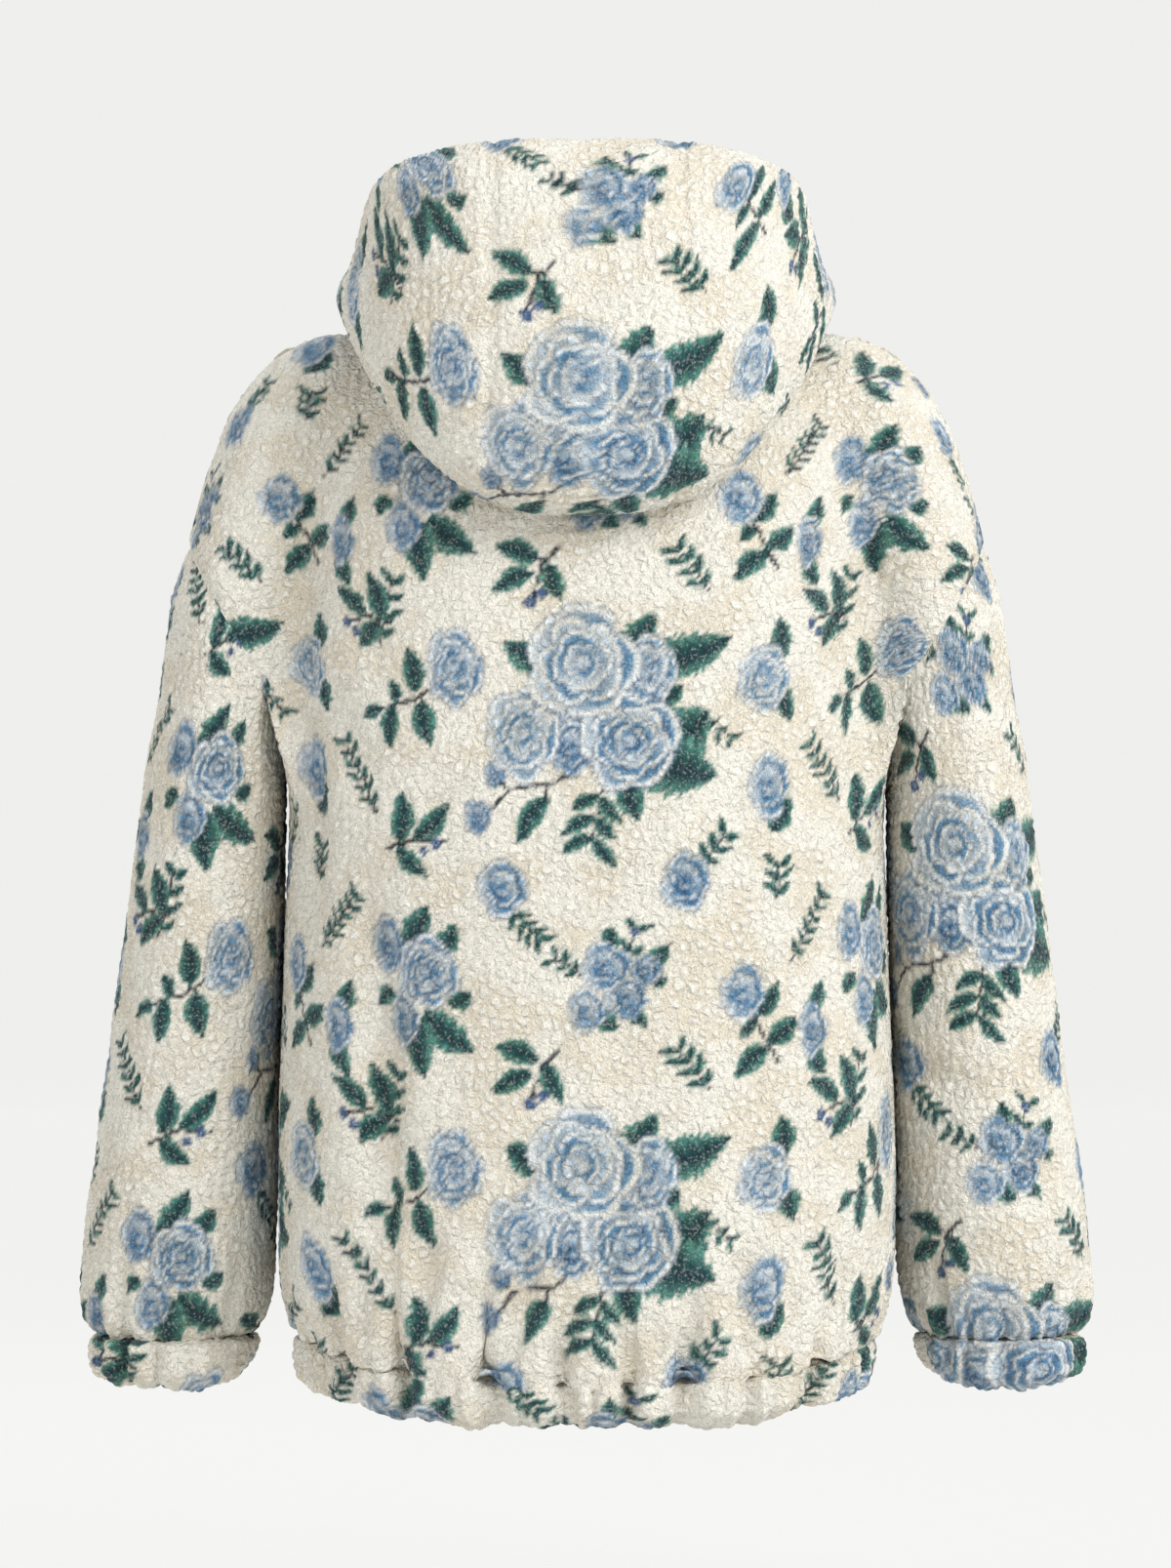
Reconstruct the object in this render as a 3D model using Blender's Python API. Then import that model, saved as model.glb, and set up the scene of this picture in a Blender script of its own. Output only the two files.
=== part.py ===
"""Hooded sherpa jacket, filled out as when worn, with nobody in it.

Metres, +Z up. The back of the jacket faces -Y and its zip +Y. The origin is in the middle of the neck,
at the height of the shoulders' highest points.
"""

import math

import bmesh
import bpy
import numpy as np

# Cloth: backing and pile together, and half of the parting between two pieces at a seam.
WALL = 0.005
HALF_PART = 0.00015

# Main sizes
UNDERARM_Z = -0.250
ARMHOLE_TOP_Z = -0.140
NECK_HALF = 0.090
BACK_NECK_Z = -0.018
FRONT_NECK_Z = -0.062
SHOULDER_ROUND = 0.065  # how far below its edge the shoulder begins to turn over
CREASE_SOFT = 0.024  # how softly the arm's form runs into the body's
PINCH = 0.24  # share of the cloth's thickness that is left right under the arm
PINCH_REACH = 0.130
EASE_TIMES = 3

# Zip
ZIP_HALF_GAP = 0.0085  # from the middle to the edge of each front
TAPE_INNER = 0.0032
TAPE_THICK = 0.0018
CHAIN_HALF = 0.0029
CHAIN_THICK = 0.0026
TAB_LENGTH = 0.026

# Elastic casings
CASING_TALL = 0.0335
CUFF_COLUMNS = 32

# Mesh density
QUARTER = 22  # columns from the centre line to the side
NECK_COLUMNS = 6  # of those, the ones along the neck
ARMHOLE_ROWS = 10  # steps from under the arm to the top of the armhole
LOW_STEPS = 3  # of those, the ones under the arm, where columns end at the seam and not rows
YOKE_ROW = 11  # of the back, where its solid is parted just below the arms
DRAW_FROM = -0.460  # height above which the body's columns draw towards the armhole's points
DENSE = 400  # samples along a row before it is spaced evenly


class Table:
    """Rows of measures under named columns, read between the rows along a smooth curve."""

    def __init__(self, names, rows):
        self.names = names.split()
        self.rows = np.array(sorted(rows), float)

    def __call__(self, name, at):
        x = self.rows[:, 0]
        y = self.rows[:, self.names.index(name)]
        slope = np.gradient(y, x)
        i = np.clip(np.searchsorted(x, at) - 1, 0, len(x) - 2)
        step = x[i + 1] - x[i]
        u = np.clip((at - x[i]) / step, 0, 1)
        rise = u * u * (3 - 2 * u)
        bend = u * (1 - u) ** 2 * slope[i] - u * u * (1 - u) * slope[i + 1]
        return y[i] + (y[i + 1] - y[i]) * rise + step * bend


# The body at each height. sag is how much lower the middle of the back and front hangs than the sides.
BODY = Table(
    "z half_width back front sag",
    [
        (0.010, 0.120, 0.070, 0.062, 0.000),
        (-0.020, 0.150, 0.092, 0.086, 0.000),
        (-0.050, 0.174, 0.114, 0.112, 0.000),
        (-0.090, 0.187, 0.134, 0.134, 0.000),
        (-0.150, 0.191, 0.146, 0.147, 0.000),
        (-0.250, 0.195, 0.151, 0.151, 0.000),
        (-0.350, 0.198, 0.155, 0.153, 0.000),
        (-0.450, 0.2015, 0.158, 0.155, 0.000),
        (-0.550, 0.2045, 0.160, 0.157, -0.008),
        (-0.590, 0.2045, 0.161, 0.158, -0.018),
        (-0.615, 0.2040, 0.162, 0.158, -0.027),
        (-0.635, 0.2020, 0.161, 0.157, -0.032),
        (-0.650, 0.1985, 0.157, 0.154, -0.033),
        (-0.660, 0.1940, 0.150, 0.147, -0.030),
        (-0.663, 0.1890, 0.143, 0.140, -0.021),
    ],
)
BODY_ROWS = [-0.663, -0.660, -0.650, -0.635, -0.615, -0.590, -0.550, -0.500, -0.440, -0.380, -0.330, -0.285]

# The sleeve at each height, from its edge beside the body to its outer edge. middle is its centre in Y.
# web is how far out the crease between the arm and the body stays.
SLEEVE = Table(
    "z inner outer middle half_depth web",
    [
        (0.004, 0.050, 0.178, 0.000, 0.045, 0.030),
        (-0.020, 0.080, 0.2145, 0.000, 0.055, 0.045),
        (-0.050, 0.110, 0.2365, 0.000, 0.066, 0.058),
        (-0.100, 0.150, 0.2550, 0.000, 0.075, 0.067),
        (-0.140, 0.174, 0.2655, 0.000, 0.078, 0.066),
        (-0.160, 0.182, 0.2720, 0.000, 0.079, 0.065),
        (-0.200, 0.190, 0.2785, 0.000, 0.079, 0.064),
        (-0.250, 0.195, 0.2860, 0.002, 0.079, 0.062),
        (-0.280, 0.2000, 0.2915, 0.004, 0.079, 0.050),
        (-0.320, 0.2025, 0.2970, 0.008, 0.078, 0.050),
        (-0.400, 0.2040, 0.3080, 0.014, 0.077, 0.050),
        (-0.500, 0.2065, 0.3220, 0.022, 0.076, 0.050),
        (-0.600, 0.2085, 0.3355, 0.028, 0.074, 0.050),
        (-0.630, 0.2095, 0.3390, 0.030, 0.071, 0.050),
        (-0.655, 0.2155, 0.3370, 0.030, 0.065, 0.050),
        (-0.6665, 0.2225, 0.3300, 0.030, 0.058, 0.050),
    ],
)
SLEEVE_ROWS = [-0.6665, -0.655, -0.640, -0.610, -0.570, -0.520, -0.460, -0.400, -0.340, -0.290, -0.255, -0.225]

# The shoulder's edge seen from behind, from the middle of the neck out to the armhole.
SHOULDER = Table(
    "x z",
    [
        (0.000, 0.012),
        (0.090, 0.0035),
        (0.130, 0.003),
        (0.178, 0.000),
        (0.190, -0.003),
        (0.203, -0.010),
        (0.218, -0.023),
        (0.229, -0.037),
        (0.2365, -0.050),
        (0.245, -0.070),
        (0.253, -0.092),
        (0.259, -0.114),
        (0.2655, -0.140),
    ],
)

# Folds of the body. x is where a fold ends below, lean how far it moves sideways for each metre down.
# depth is negative for a trough; each dies away above top and below foot.
FOLD_NAMES = "side x lean top foot width depth"
FOLD_FREE = 0.190  # no fold lies further out from the middle than this
FOLD_FADE = 0.015
FOLDS = [
    ("back", -0.170, 0.05, -0.600, -0.668, 0.010, -0.0060),
    ("back", -0.146, 0.05, -0.590, -0.672, 0.009, -0.0050),
    ("back", -0.112, -0.12, -0.575, -0.678, 0.010, -0.0085),
    ("back", -0.084, -0.05, -0.610, -0.680, 0.009, -0.0050),
    ("back", -0.054, -0.22, -0.585, -0.684, 0.010, -0.0085),
    ("back", -0.018, -0.12, -0.620, -0.686, 0.009, -0.0070),
    ("back", 0.024, 0.08, -0.600, -0.686, 0.010, -0.0065),
    ("back", 0.047, 0.10, -0.635, -0.684, 0.008, -0.0040),
    ("back", 0.072, 0.06, -0.605, -0.682, 0.010, -0.0060),
    ("back", 0.102, 0.02, -0.590, -0.680, 0.010, -0.0075),
    ("back", 0.134, -0.04, -0.615, -0.674, 0.009, -0.0050),
    ("back", 0.163, -0.05, -0.595, -0.668, 0.010, -0.0060),
    ("back", -0.131, 0.02, -0.330, -0.600, 0.018, -0.0055),
    ("back", 0.157, 0.02, -0.080, -0.460, 0.016, -0.0055),
    ("front", -0.166, 0.04, -0.595, -0.668, 0.010, -0.0060),
    ("front", -0.135, 0.08, -0.610, -0.674, 0.009, -0.0055),
    ("front", -0.104, -0.06, -0.580, -0.678, 0.010, -0.0080),
    ("front", -0.071, -0.10, -0.605, -0.682, 0.009, -0.0060),
    ("front", -0.040, -0.05, -0.620, -0.684, 0.009, -0.0055),
    ("front", 0.044, 0.08, -0.600, -0.684, 0.010, -0.0070),
    ("front", 0.078, 0.04, -0.615, -0.682, 0.009, -0.0055),
    ("front", 0.109, 0.10, -0.585, -0.678, 0.010, -0.0080),
    ("front", 0.139, 0.00, -0.605, -0.674, 0.009, -0.0060),
    ("front", 0.168, -0.05, -0.600, -0.668, 0.010, -0.0055),
    ("front", -0.125, 0.03, -0.120, -0.420, 0.018, -0.0050),
    ("front", 0.140, -0.02, -0.250, -0.560, 0.018, -0.0050),
]

# The hood, pushed back and filled, from its neck seam (0) round its lowest fold to its face edge (1).
# back, front and half_width are plan sizes; z_back, z_side and z_front are heights at those places.
HOOD = Table(
    "along half_width back front z_back z_side z_front square",
    [
        (0.00, 0.090, 0.078, 0.118, -0.018, 0.0035, -0.062, 2.0),
        (0.10, 0.106, 0.120, 0.128, -0.052, 0.0105, -0.056, 2.2),
        (0.20, 0.129, 0.142, 0.134, -0.095, 0.0120, -0.051, 2.5),
        (0.30, 0.146, 0.163, 0.136, -0.124, 0.0130, -0.048, 2.7),
        (0.40, 0.157, 0.187, 0.140, -0.116, 0.0140, -0.041, 2.8),
        (0.52, 0.164, 0.207, 0.142, -0.078, 0.0220, -0.032, 2.8),
        (0.64, 0.1625, 0.216, 0.141, -0.026, 0.0340, -0.022, 2.8),
        (0.76, 0.1555, 0.211, 0.138, 0.022, 0.0480, -0.012, 2.9),
        (0.86, 0.1500, 0.198, 0.133, 0.071, 0.0670, -0.003, 3.0),
        (0.94, 0.1460, 0.180, 0.127, 0.103, 0.0830, 0.003, 3.1),
        (1.00, 0.142, 0.156, 0.119, 0.1185, 0.0930, 0.006, 3.1),
    ],
)
HOOD_ROWS = [0.00, 0.04, 0.10, 0.18, 0.26, 0.34, 0.44, 0.54, 0.64, 0.74, 0.84, 0.92, 1.00]
HOOD_SEAM = 2  # stations from the middle of the back to the seam beside the centre strip
HOOD_CLEAR = 0.0026  # the hood's underside lies this far off the back and shoulders
OFF_STEP = 0.0005  # steps in which the hood is moved off the body
OFF_STEPS = 60
HOOD_DROP = 1.5  # how fast the hood's lower fold rises from the back to the sides
HOOD_FRONT_LOSS = 0.15  # how much of its size the hood loses towards the zip


def smooth_step(value):
    value = np.clip(value, 0, 1)
    return value * value * (3 - 2 * value)


def unit(vectors):
    return vectors / np.maximum(np.linalg.norm(vectors, axis=-1, keepdims=True), 1e-12)


def oval(across, power):
    """Depth of an oval of half width and half depth 1, going below zero outside it."""
    rest = 1 - np.abs(across) ** power
    return np.sign(rest) * np.abs(rest) ** (1 / power)


BODY_SQUARE = 2.6
ARM_SQUARE = 2.2


def soft_max(a, b, soft):
    mix = np.clip(0.5 + 0.5 * (a - b) / soft, 0, 1)
    return b + (a - b) * mix + soft * mix * (1 - mix)


def depth_at(x, z, side):
    """How far the upper body stands out from the middle plane: body and arm run into one form."""
    body = BODY(side, z) * oval(x / BODY("half_width", z), BODY_SQUARE)
    inner = SLEEVE("inner", z)
    outer = SLEEVE("outer", z)
    arm = SLEEVE("half_depth", z) * oval((2 * x - inner - outer) / (outer - inner), ARM_SQUARE)
    web = np.where(2 * x < inner + outer, SLEEVE("web", z), -1)
    over = np.clip((z - SHOULDER("z", x) + SHOULDER_ROUND) / SHOULDER_ROUND, 0, 1)
    turn = (1 - over**2.5) ** 0.4
    return np.maximum(soft_max(soft_max(body, arm, CREASE_SOFT), web, CREASE_SOFT), 0) * turn


def top_edge(x, side):
    """Height of the panel's upper edge: the neck curve, then the shoulder seam."""
    low = BACK_NECK_Z if side == "back" else FRONT_NECK_Z
    side_z = SHOULDER("z", NECK_HALF)
    bow = np.sqrt(np.clip(1 - (x / NECK_HALF) ** 2, 0, 1))
    neck = side_z + (low - side_z) * (bow if side == "front" else bow**1.5)
    return np.where(x < NECK_HALF, neck, SHOULDER("z", x))


def armhole(step, side):
    """A point of the armhole seam, counted from 0 under the arm to ARMHOLE_ROWS on top of it."""
    angle = step * math.pi / ARMHOLE_ROWS
    half = (ARMHOLE_TOP_Z - UNDERARM_Z) / 2
    z = UNDERARM_Z + half - half * math.cos(angle)
    inner = SLEEVE("inner", z)
    outer = SLEEVE("outer", z)
    x = (inner + outer) / 2 - (outer - inner) / 2 * math.cos(angle)
    out = SLEEVE("half_depth", z) * math.sin(angle)
    if step >= LOW_STEPS:
        out = float(depth_at(x, z, side)) if step < ARMHOLE_ROWS else 0.0
    return np.array([x, out if side == "front" else -out, z])


def spaced(line, shares):
    """Points at these shares of a line's length."""
    steps = np.linalg.norm(np.diff(line, axis=0), axis=1)
    along = np.concatenate([[0], np.cumsum(steps)])
    return np.stack([np.interp(shares * along[-1], along, line[:, k]) for k in range(3)], axis=1)


def lower_row(z, side):
    """A quarter ring of the body below the arms, from the centre line to the side."""
    start = 0.0 if side == "back" else ZIP_HALF_GAP
    width = BODY("half_width", z)
    first = math.asin((start / width) ** (BODY_SQUARE / 2))
    turn = np.linspace(first, math.pi / 2, DENSE)
    x = width * np.sin(turn) ** (2 / BODY_SQUARE)
    bulge = np.clip(np.cos(turn), 0, 1) ** (2 / BODY_SQUARE)
    y = BODY(side, z) * bulge * (1 if side == "front" else -1)
    line = np.stack([x, y, z + BODY("sag", z) * bulge**2], axis=1)
    # Nearer the arm the last columns draw apart, to where they meet the armhole.
    even = np.linspace(0, 1, QUARTER + 1)
    length = np.linalg.norm(np.diff(line, axis=0), axis=1).sum()
    reach = [abs(armhole(step, side)[1]) / length for step in reversed(range(LOW_STEPS + 1))]
    known = [0, *range(QUARTER - LOW_STEPS, QUARTER + 1)]
    drawn = np.interp(np.arange(QUARTER + 1), known, [0, *(1 - np.array(reach))])
    return spaced(line, even + (drawn - even) * smooth_step((z - DRAW_FROM) / (UNDERARM_Z - DRAW_FROM)))


def upper_row(step, side):
    """A row above the underarm, from the centre line to the armhole seam. The rest of it is left out."""
    rises = ARMHOLE_ROWS - LOW_STEPS
    share = step / rises
    end = armhole(LOW_STEPS + step, side)
    start = 0.0 if side == "back" else ZIP_HALF_GAP
    x = start + (end[0] - start) * np.sin(np.linspace(0, math.pi / 2, DENSE))
    at_end = (end[2] - UNDERARM_Z) / (float(top_edge(end[0], side)) - UNDERARM_Z)
    rise = share + (at_end - share) * (x / end[0]) ** 3
    z = UNDERARM_Z + (top_edge(x, side) - UNDERARM_Z) * rise
    out = depth_at(x, z, side)
    line = np.stack([x, out if side == "front" else -out, z], axis=1)
    line[-1] = end
    count = QUARTER - LOW_STEPS
    steps = np.concatenate([[0], np.cumsum(np.linalg.norm(np.diff(line, axis=0), axis=1))])
    neck_share = np.interp(NECK_HALF, x, steps) / steps[-1]
    top = np.interp(np.arange(count + 1), [0, NECK_COLUMNS, count], [0, neck_share, 1])
    even = np.linspace(0, 1, count + 1)
    row = spaced(line, even + (top - even) * share**2)
    if step == rises:
        row[NECK_COLUMNS:] = shoulder_seam()
    if step == 0:
        rest = [armhole(low, side) for low in reversed(range(LOW_STEPS))]
    else:
        rest = [(math.nan,) * 3] * LOW_STEPS
    return np.concatenate([row, rest])


def shoulder_seam():
    """Points from the side of the neck to the top of the armhole, the same on front and back."""
    x = np.linspace(NECK_HALF, armhole(ARMHOLE_ROWS, "back")[0], DENSE)
    line = np.stack([x, 0 * x, SHOULDER("z", x)], axis=1)
    return spaced(line, np.linspace(0, 1, QUARTER - LOW_STEPS - NECK_COLUMNS + 1))


def fold_at(points, side):
    """How far the folds push each point outwards, in metres."""
    x, _, z = np.moveaxis(points, -1, 0)
    push = np.zeros(x.shape)
    for row in FOLDS:
        fold = dict(zip(FOLD_NAMES.split(), row))
        if fold["side"] != side:
            continue
        centre = fold["x"] - fold["lean"] * (z - fold["foot"])
        across = np.exp(-(((x - centre) / fold["width"]) ** 2))
        fade = max(0.02, 0.35 * (fold["top"] - fold["foot"]))
        down = smooth_step((fold["top"] - z) / fade)
        up = smooth_step((z - fold["foot"]) / min(fade, 0.02))
        push += fold["depth"] * across * down * up
    push[:, (0, -1)] = 0
    return push * smooth_step((FOLD_FREE - np.abs(x)) / FOLD_FADE)


def quarter(side):
    """One half of the back, or one front, as rows of points up to the neck and shoulder."""
    rows = [lower_row(z, side) for z in BODY_ROWS]
    rows += [upper_row(step, side) for step in range(ARMHOLE_ROWS - LOW_STEPS + 1)]
    return np.array(rows)


def mirrored(grid):
    return grid[:, ::-1] * (-1, 1, 1)


def sleeve_ring(level, tilt, turn):
    """Points round the right sleeve, higher by tilt at its outer side; turn 0 is beside the body."""
    z = level - tilt * np.cos(turn)
    inner = SLEEVE("inner", z)
    outer = SLEEVE("outer", z)
    around = np.sign(np.sin(turn)) * np.abs(np.sin(turn)) ** (2 / ARM_SQUARE)
    outward = np.sign(np.cos(turn)) * np.abs(np.cos(turn)) ** (2 / ARM_SQUARE)
    x = (inner + outer) / 2 - (outer - inner) / 2 * outward
    y = SLEEVE("middle", z) - SLEEVE("half_depth", z) * around
    return np.stack([x, y, z], axis=1)


def sleeve_grid():
    """The wearer's right sleeve from the cuff seam up, its columns from under the arm round the back."""
    turn = np.linspace(0, 2 * math.pi, 2 * ARMHOLE_ROWS + 1)
    rows = []
    middle = (UNDERARM_Z + ARMHOLE_TOP_Z) / 2
    for level in SLEEVE_ROWS:
        tilt = (ARMHOLE_TOP_Z - middle) * smooth_step((level + 0.40) / (middle + 0.40))
        rows.append(sleeve_ring(level, tilt, turn))
    back = [armhole(step, "back") for step in range(ARMHOLE_ROWS + 1)]
    front = [armhole(step, "front") for step in range(ARMHOLE_ROWS + 1)]
    rows.append(np.array(back + front[-2::-1]))
    return np.array(rows)


def near(point):
    """A key that two grids' shared points have in common."""
    return tuple(np.round(point * 1e6).astype(int).tolist())


def quads(grid, closed=False):
    """Index quadruples of a grid's faces, leaving out those with a point that isn't there."""
    rows, columns = grid.shape[:2]
    there = ~np.isnan(grid[..., 0])
    found = []
    for i in range(rows - 1):
        for j in range(columns if closed else columns - 1):
            k = (j + 1) % columns
            if there[i, j] and there[i, k] and there[i + 1, j] and there[i + 1, k]:
                found.append(((i, j), (i, k), (i + 1, k), (i + 1, j)))
    return found


def grid_normals(grids):
    """Outward directions at the points of grids that share their seams."""
    total = {}
    for grid in grids:
        for a, b, c, d in quads(grid):
            normal = np.cross(grid[c] - grid[a], grid[d] - grid[b])
            for place in {near(grid[p]) for p in (a, b, c, d)}:
                total[place] = total.get(place, 0) + normal
    normals = []
    for grid in grids:
        normal = np.zeros(grid.shape)
        for place in zip(*np.nonzero(~np.isnan(grid[..., 0]))):
            normal[place] = total[near(grid[place])]
        normals.append(unit(normal))
    return normals


def add_object(name, points, faces, material):
    mesh = bpy.data.meshes.new(name)
    mesh.from_pydata([tuple(p) for p in points], [], faces)
    mesh.validate()
    bm = bmesh.new()
    bm.from_mesh(mesh)
    bmesh.ops.recalc_face_normals(bm, faces=bm.faces)
    bmesh.ops.triangulate(bm, faces=bm.faces)
    bm.to_mesh(mesh)
    bm.free()
    mesh.shade_smooth()
    mesh.set_sharp_from_angle(angle=math.radians(50))
    mesh.materials.append(material)
    obj = bpy.data.objects.new(name, mesh)
    bpy.context.scene.collection.objects.link(obj)
    return obj


def cloth_at(points):
    """The cloth's thickness, flattened where it is pinched under the arm."""
    away = np.linalg.norm(np.abs(points) * (1, 1, -1) - (SLEEVE("inner", UNDERARM_Z), 0, UNDERARM_Z), axis=-1)
    return WALL * (PINCH + (1 - PINCH) * smooth_step(away / PINCH_REACH))[..., None]


def edge_moves(outer, inner, faces):
    """The outer edges of a wall, and for each point on them the way back from the seam."""
    directed = {}
    for face in faces:
        for a, b in zip(face, face[1:] + face[:1]):
            directed[a, b] = face
    edges = [pair for pair in directed if pair[::-1] not in directed]
    ways = {}
    for a, b in edges:
        middle = outer[list(directed[a, b])].mean(axis=0)
        for p in (a, b):
            way = unit(np.cross(outer[b] - outer[a], inner[p] - outer[p]))
            ways.setdefault(p, []).append(way * np.sign(np.dot(way, middle - outer[p])))
    moves = np.zeros(outer.shape)
    for p, (one, other) in ways.items():
        moves[p] = (one + other) / max(0.5, 1 + np.dot(one, other))
    return edges, moves


def add_wall(name, grid, normals, material, closed=False):
    """A cloth wall: the grid outside, the same grid moved inwards by the cloth, and its edges."""
    if closed:
        grid = grid[:, :-1]
        normals = normals[:, :-1]
    there = ~np.isnan(grid[..., 0])
    index = np.cumsum(there).reshape(there.shape) - 1
    outer = grid[there]
    inner = outer - cloth_at(outer) * normals[there]
    faces = [tuple(int(index[p]) for p in quad) for quad in quads(grid, closed)]
    edges, moves = edge_moves(outer, inner, faces)
    points = np.concatenate([outer + HALF_PART * moves, inner + HALF_PART * moves])
    layer = len(outer)
    faces += [tuple(p + layer for p in reversed(face)) for face in faces]
    # Two pieces split the faces along their seam the same way, from the point that lies further out.
    far = np.abs(points[:, 0]) + 0.7 * points[:, 2] + 0.3 * points[:, 1]
    for a, b in edges:
        if far[a] > far[b]:
            faces += [(b, a, b + layer), (a, a + layer, b + layer)]
        else:
            faces += [(b, a, a + layer), (b, a + layer, b + layer)]
    return add_object(name, points, faces, material)


def add_band(name, rings, material, closed):
    """A solid band from one ring of points for each corner of its section."""
    rings = np.array(rings)
    corners, count = rings.shape[:2]
    points = rings.reshape(-1, 3)
    faces = []
    for i in range(corners):
        upper = (i + 1) % corners
        for j in range(count if closed else count - 1):
            nearby = (j + 1) % count
            faces.append((i * count + j, i * count + nearby, upper * count + nearby, upper * count + j))
    if not closed:
        faces.append(tuple(i * count for i in range(corners)))
        faces.append(tuple(i * count + count - 1 for i in reversed(range(corners))))
    return add_object(name, points, faces, material)


def make_material(name, colour, roughness, metallic=0.0):
    material = bpy.data.materials.new(name)
    material.use_nodes = True
    shader = material.node_tree.nodes["Principled BSDF"]
    shader.inputs["Base Color"].default_value = (*colour, 1)
    shader.inputs["Roughness"].default_value = roughness
    shader.inputs["Metallic"].default_value = metallic
    material.diffuse_color = (*colour, 1)
    return material


# The section of an elastic casing: how far out of the seam ring, and how far down it, in its height.
CASING_SECTION = [
    (-0.0004, 0.00),
    (0.0028, 0.30),
    (0.0018, 0.78),
    (-0.0040, 1.00),
    (-0.0095, 0.76),
    (-0.0095, 0.03),
]
CASING_BELOW = 0.0005  # the casing starts this far below the seam ring


def casing_rings(ring, outward, gathers, depth):
    """Rings of points for a casing below a seam ring, with the elastic's gathers in its outer side."""
    turn = np.linspace(0, 1, len(ring))
    wave = np.sin(2 * math.pi * (gathers * turn + 0.35 * np.sin(2 * math.pi * 3 * turn)))
    rings = []
    for out, down in CASING_SECTION:
        swell = depth * wave * math.sin(math.pi * down) * (out > -0.009)
        level = ring + (out + swell)[:, None] * outward
        level[:, 2] -= CASING_BELOW + down * CASING_TALL
        rings.append(level)
    return rings


def ring_outward(ring, closed):
    """Level directions out of a ring of points. The ends of an open ring keep to their own plane."""
    ahead = np.roll(ring, -1, axis=0) - np.roll(ring, 1, axis=0)
    if not closed:
        ahead[0] = ahead[-1] = (1, 0, 0)
    across = unit(np.stack([ahead[:, 1], -ahead[:, 0], 0 * ahead[:, 0]], axis=1))
    away = (across * (ring - ring.mean(axis=0))).sum(axis=1, keepdims=True)
    return across * np.sign(away)


def keep_off_body(points):
    """Moves points of the hood that would lie in the body, or right on it, out of it."""
    moved = points.copy()
    x = np.abs(points[..., 0])
    edge = SHOULDER("z", x)
    for side, sign in (("back", -1), ("front", 1)):
        for _ in range(OFF_STEPS):
            away = np.stack([moved[..., 1], np.maximum(moved[..., 2] - edge + SHOULDER_ROUND, 0)], axis=-1)
            away = unit(away)
            y, z = np.moveaxis(moved[..., 1:] - HOOD_CLEAR * away, -1, 0)
            inside = (z < edge) & (y * sign >= 0) & (y * sign < depth_at(x, np.minimum(z, edge), side))
            moved[..., 1:] += np.where(inside[..., None], OFF_STEP * away, 0)
    return moved


def hood_grid(neck):
    """Half of the hood's outer side: a column for each station from the back's middle to the zip."""
    count = len(neck) - 1
    turn = np.linspace(0, math.pi, count + 1)
    loss = 1 - HOOD_FRONT_LOSS * smooth_step((turn - 1.6) / (math.pi - 1.6))
    rows = []
    for along in HOOD_ROWS:
        square = HOOD("square", along)
        is_back = turn <= math.pi / 2
        cosine = np.abs(np.cos(turn))
        x = HOOD("half_width", along) * np.sin(turn).clip(0, 1) ** (2 / square)
        y = np.where(is_back, -HOOD("back", along), HOOD("front", along)) * cosine ** (2 / square)
        end_z = np.where(is_back, HOOD("z_back", along), HOOD("z_front", along))
        side_z = HOOD("z_side", along)
        z = side_z + (end_z - side_z) * cosine**HOOD_DROP
        level = np.stack([x, y, z], axis=1)
        level = neck + (level - neck) * loss[:, None]
        level[:, 0] = np.maximum(level[:, 0], np.where(turn > math.pi / 2, ZIP_HALF_GAP, 0))
        rows.append(neck.copy() if along == 0 else keep_off_body(level))
    return np.array(rows)


def half_steps(line):
    """The line's points with one more in the middle of each step."""
    out = np.repeat(line, 2, axis=0)[:-1]
    out[1::2] = (line[:-1] + line[1:]) / 2
    return out


def clear_scene():
    for obj in list(bpy.data.objects):
        bpy.data.objects.remove(obj, do_unlink=True)


def eased(grid, normals):
    """Evens out the directions inside a grid, so that the cloth's inner side doesn't cross itself."""
    normals = normals.copy()
    rows, columns = grid.shape[:2]
    there = ~np.isnan(grid[..., 0])
    inside = np.ones((rows - 2, columns - 2, 1), bool)
    for down in range(3):
        for along in range(3):
            inside[..., 0] &= there[down : down + rows - 2, along : along + columns - 2]
    for _ in range(EASE_TIMES):
        middle = normals[1:-1, 1:-1]
        around = normals[:-2, 1:-1] + normals[2:, 1:-1] + normals[1:-1, :-2] + normals[1:-1, 2:]
        normals[1:-1, 1:-1] = np.where(inside, unit(unit(around) + middle), middle)
    return normals


def at_seam(line, grids):
    """For each point of a seam line, the outward direction and the way into the cloth of these grids."""
    keys = [near(point) for point in line]
    facing = {}
    away = {key: np.zeros(3) for key in keys}
    for grid, normal in zip(grids, grid_normals(grids)):
        rows, columns = grid.shape[:2]
        for i, j in zip(*np.nonzero(~np.isnan(grid[..., 0]))):
            key = near(grid[i, j])
            if key not in away:
                continue
            facing[key] = normal[i, j]
            for k, m in ((i - 1, j), (i + 1, j), (i, j - 1), (i, j + 1)):
                inside = 0 <= k < rows and 0 <= m < columns and not np.isnan(grid[k, m, 0])
                if inside and near(grid[k, m]) not in away:
                    away[key] += unit(grid[k, m] - grid[i, j])
    return np.array([facing[key] for key in keys]), unit(np.array([away[key] for key in keys]))


def seam_directions(line, grids, others):
    """Outward directions along a seam, also where the two cloths fold back against each other."""
    one, one_away = at_seam(line, grids)
    two, two_away = at_seam(line, others)
    return unit(one + two + one_away + two_away)


def share(directions, grids, normals):
    """Gives the grids the directions that are kept for their points."""
    for grid, normal in zip(grids, normals):
        for place in zip(*np.nonzero(~np.isnan(grid[..., 0]))):
            normal[place] = directions.get(near(grid[place]), normal[place])


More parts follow.
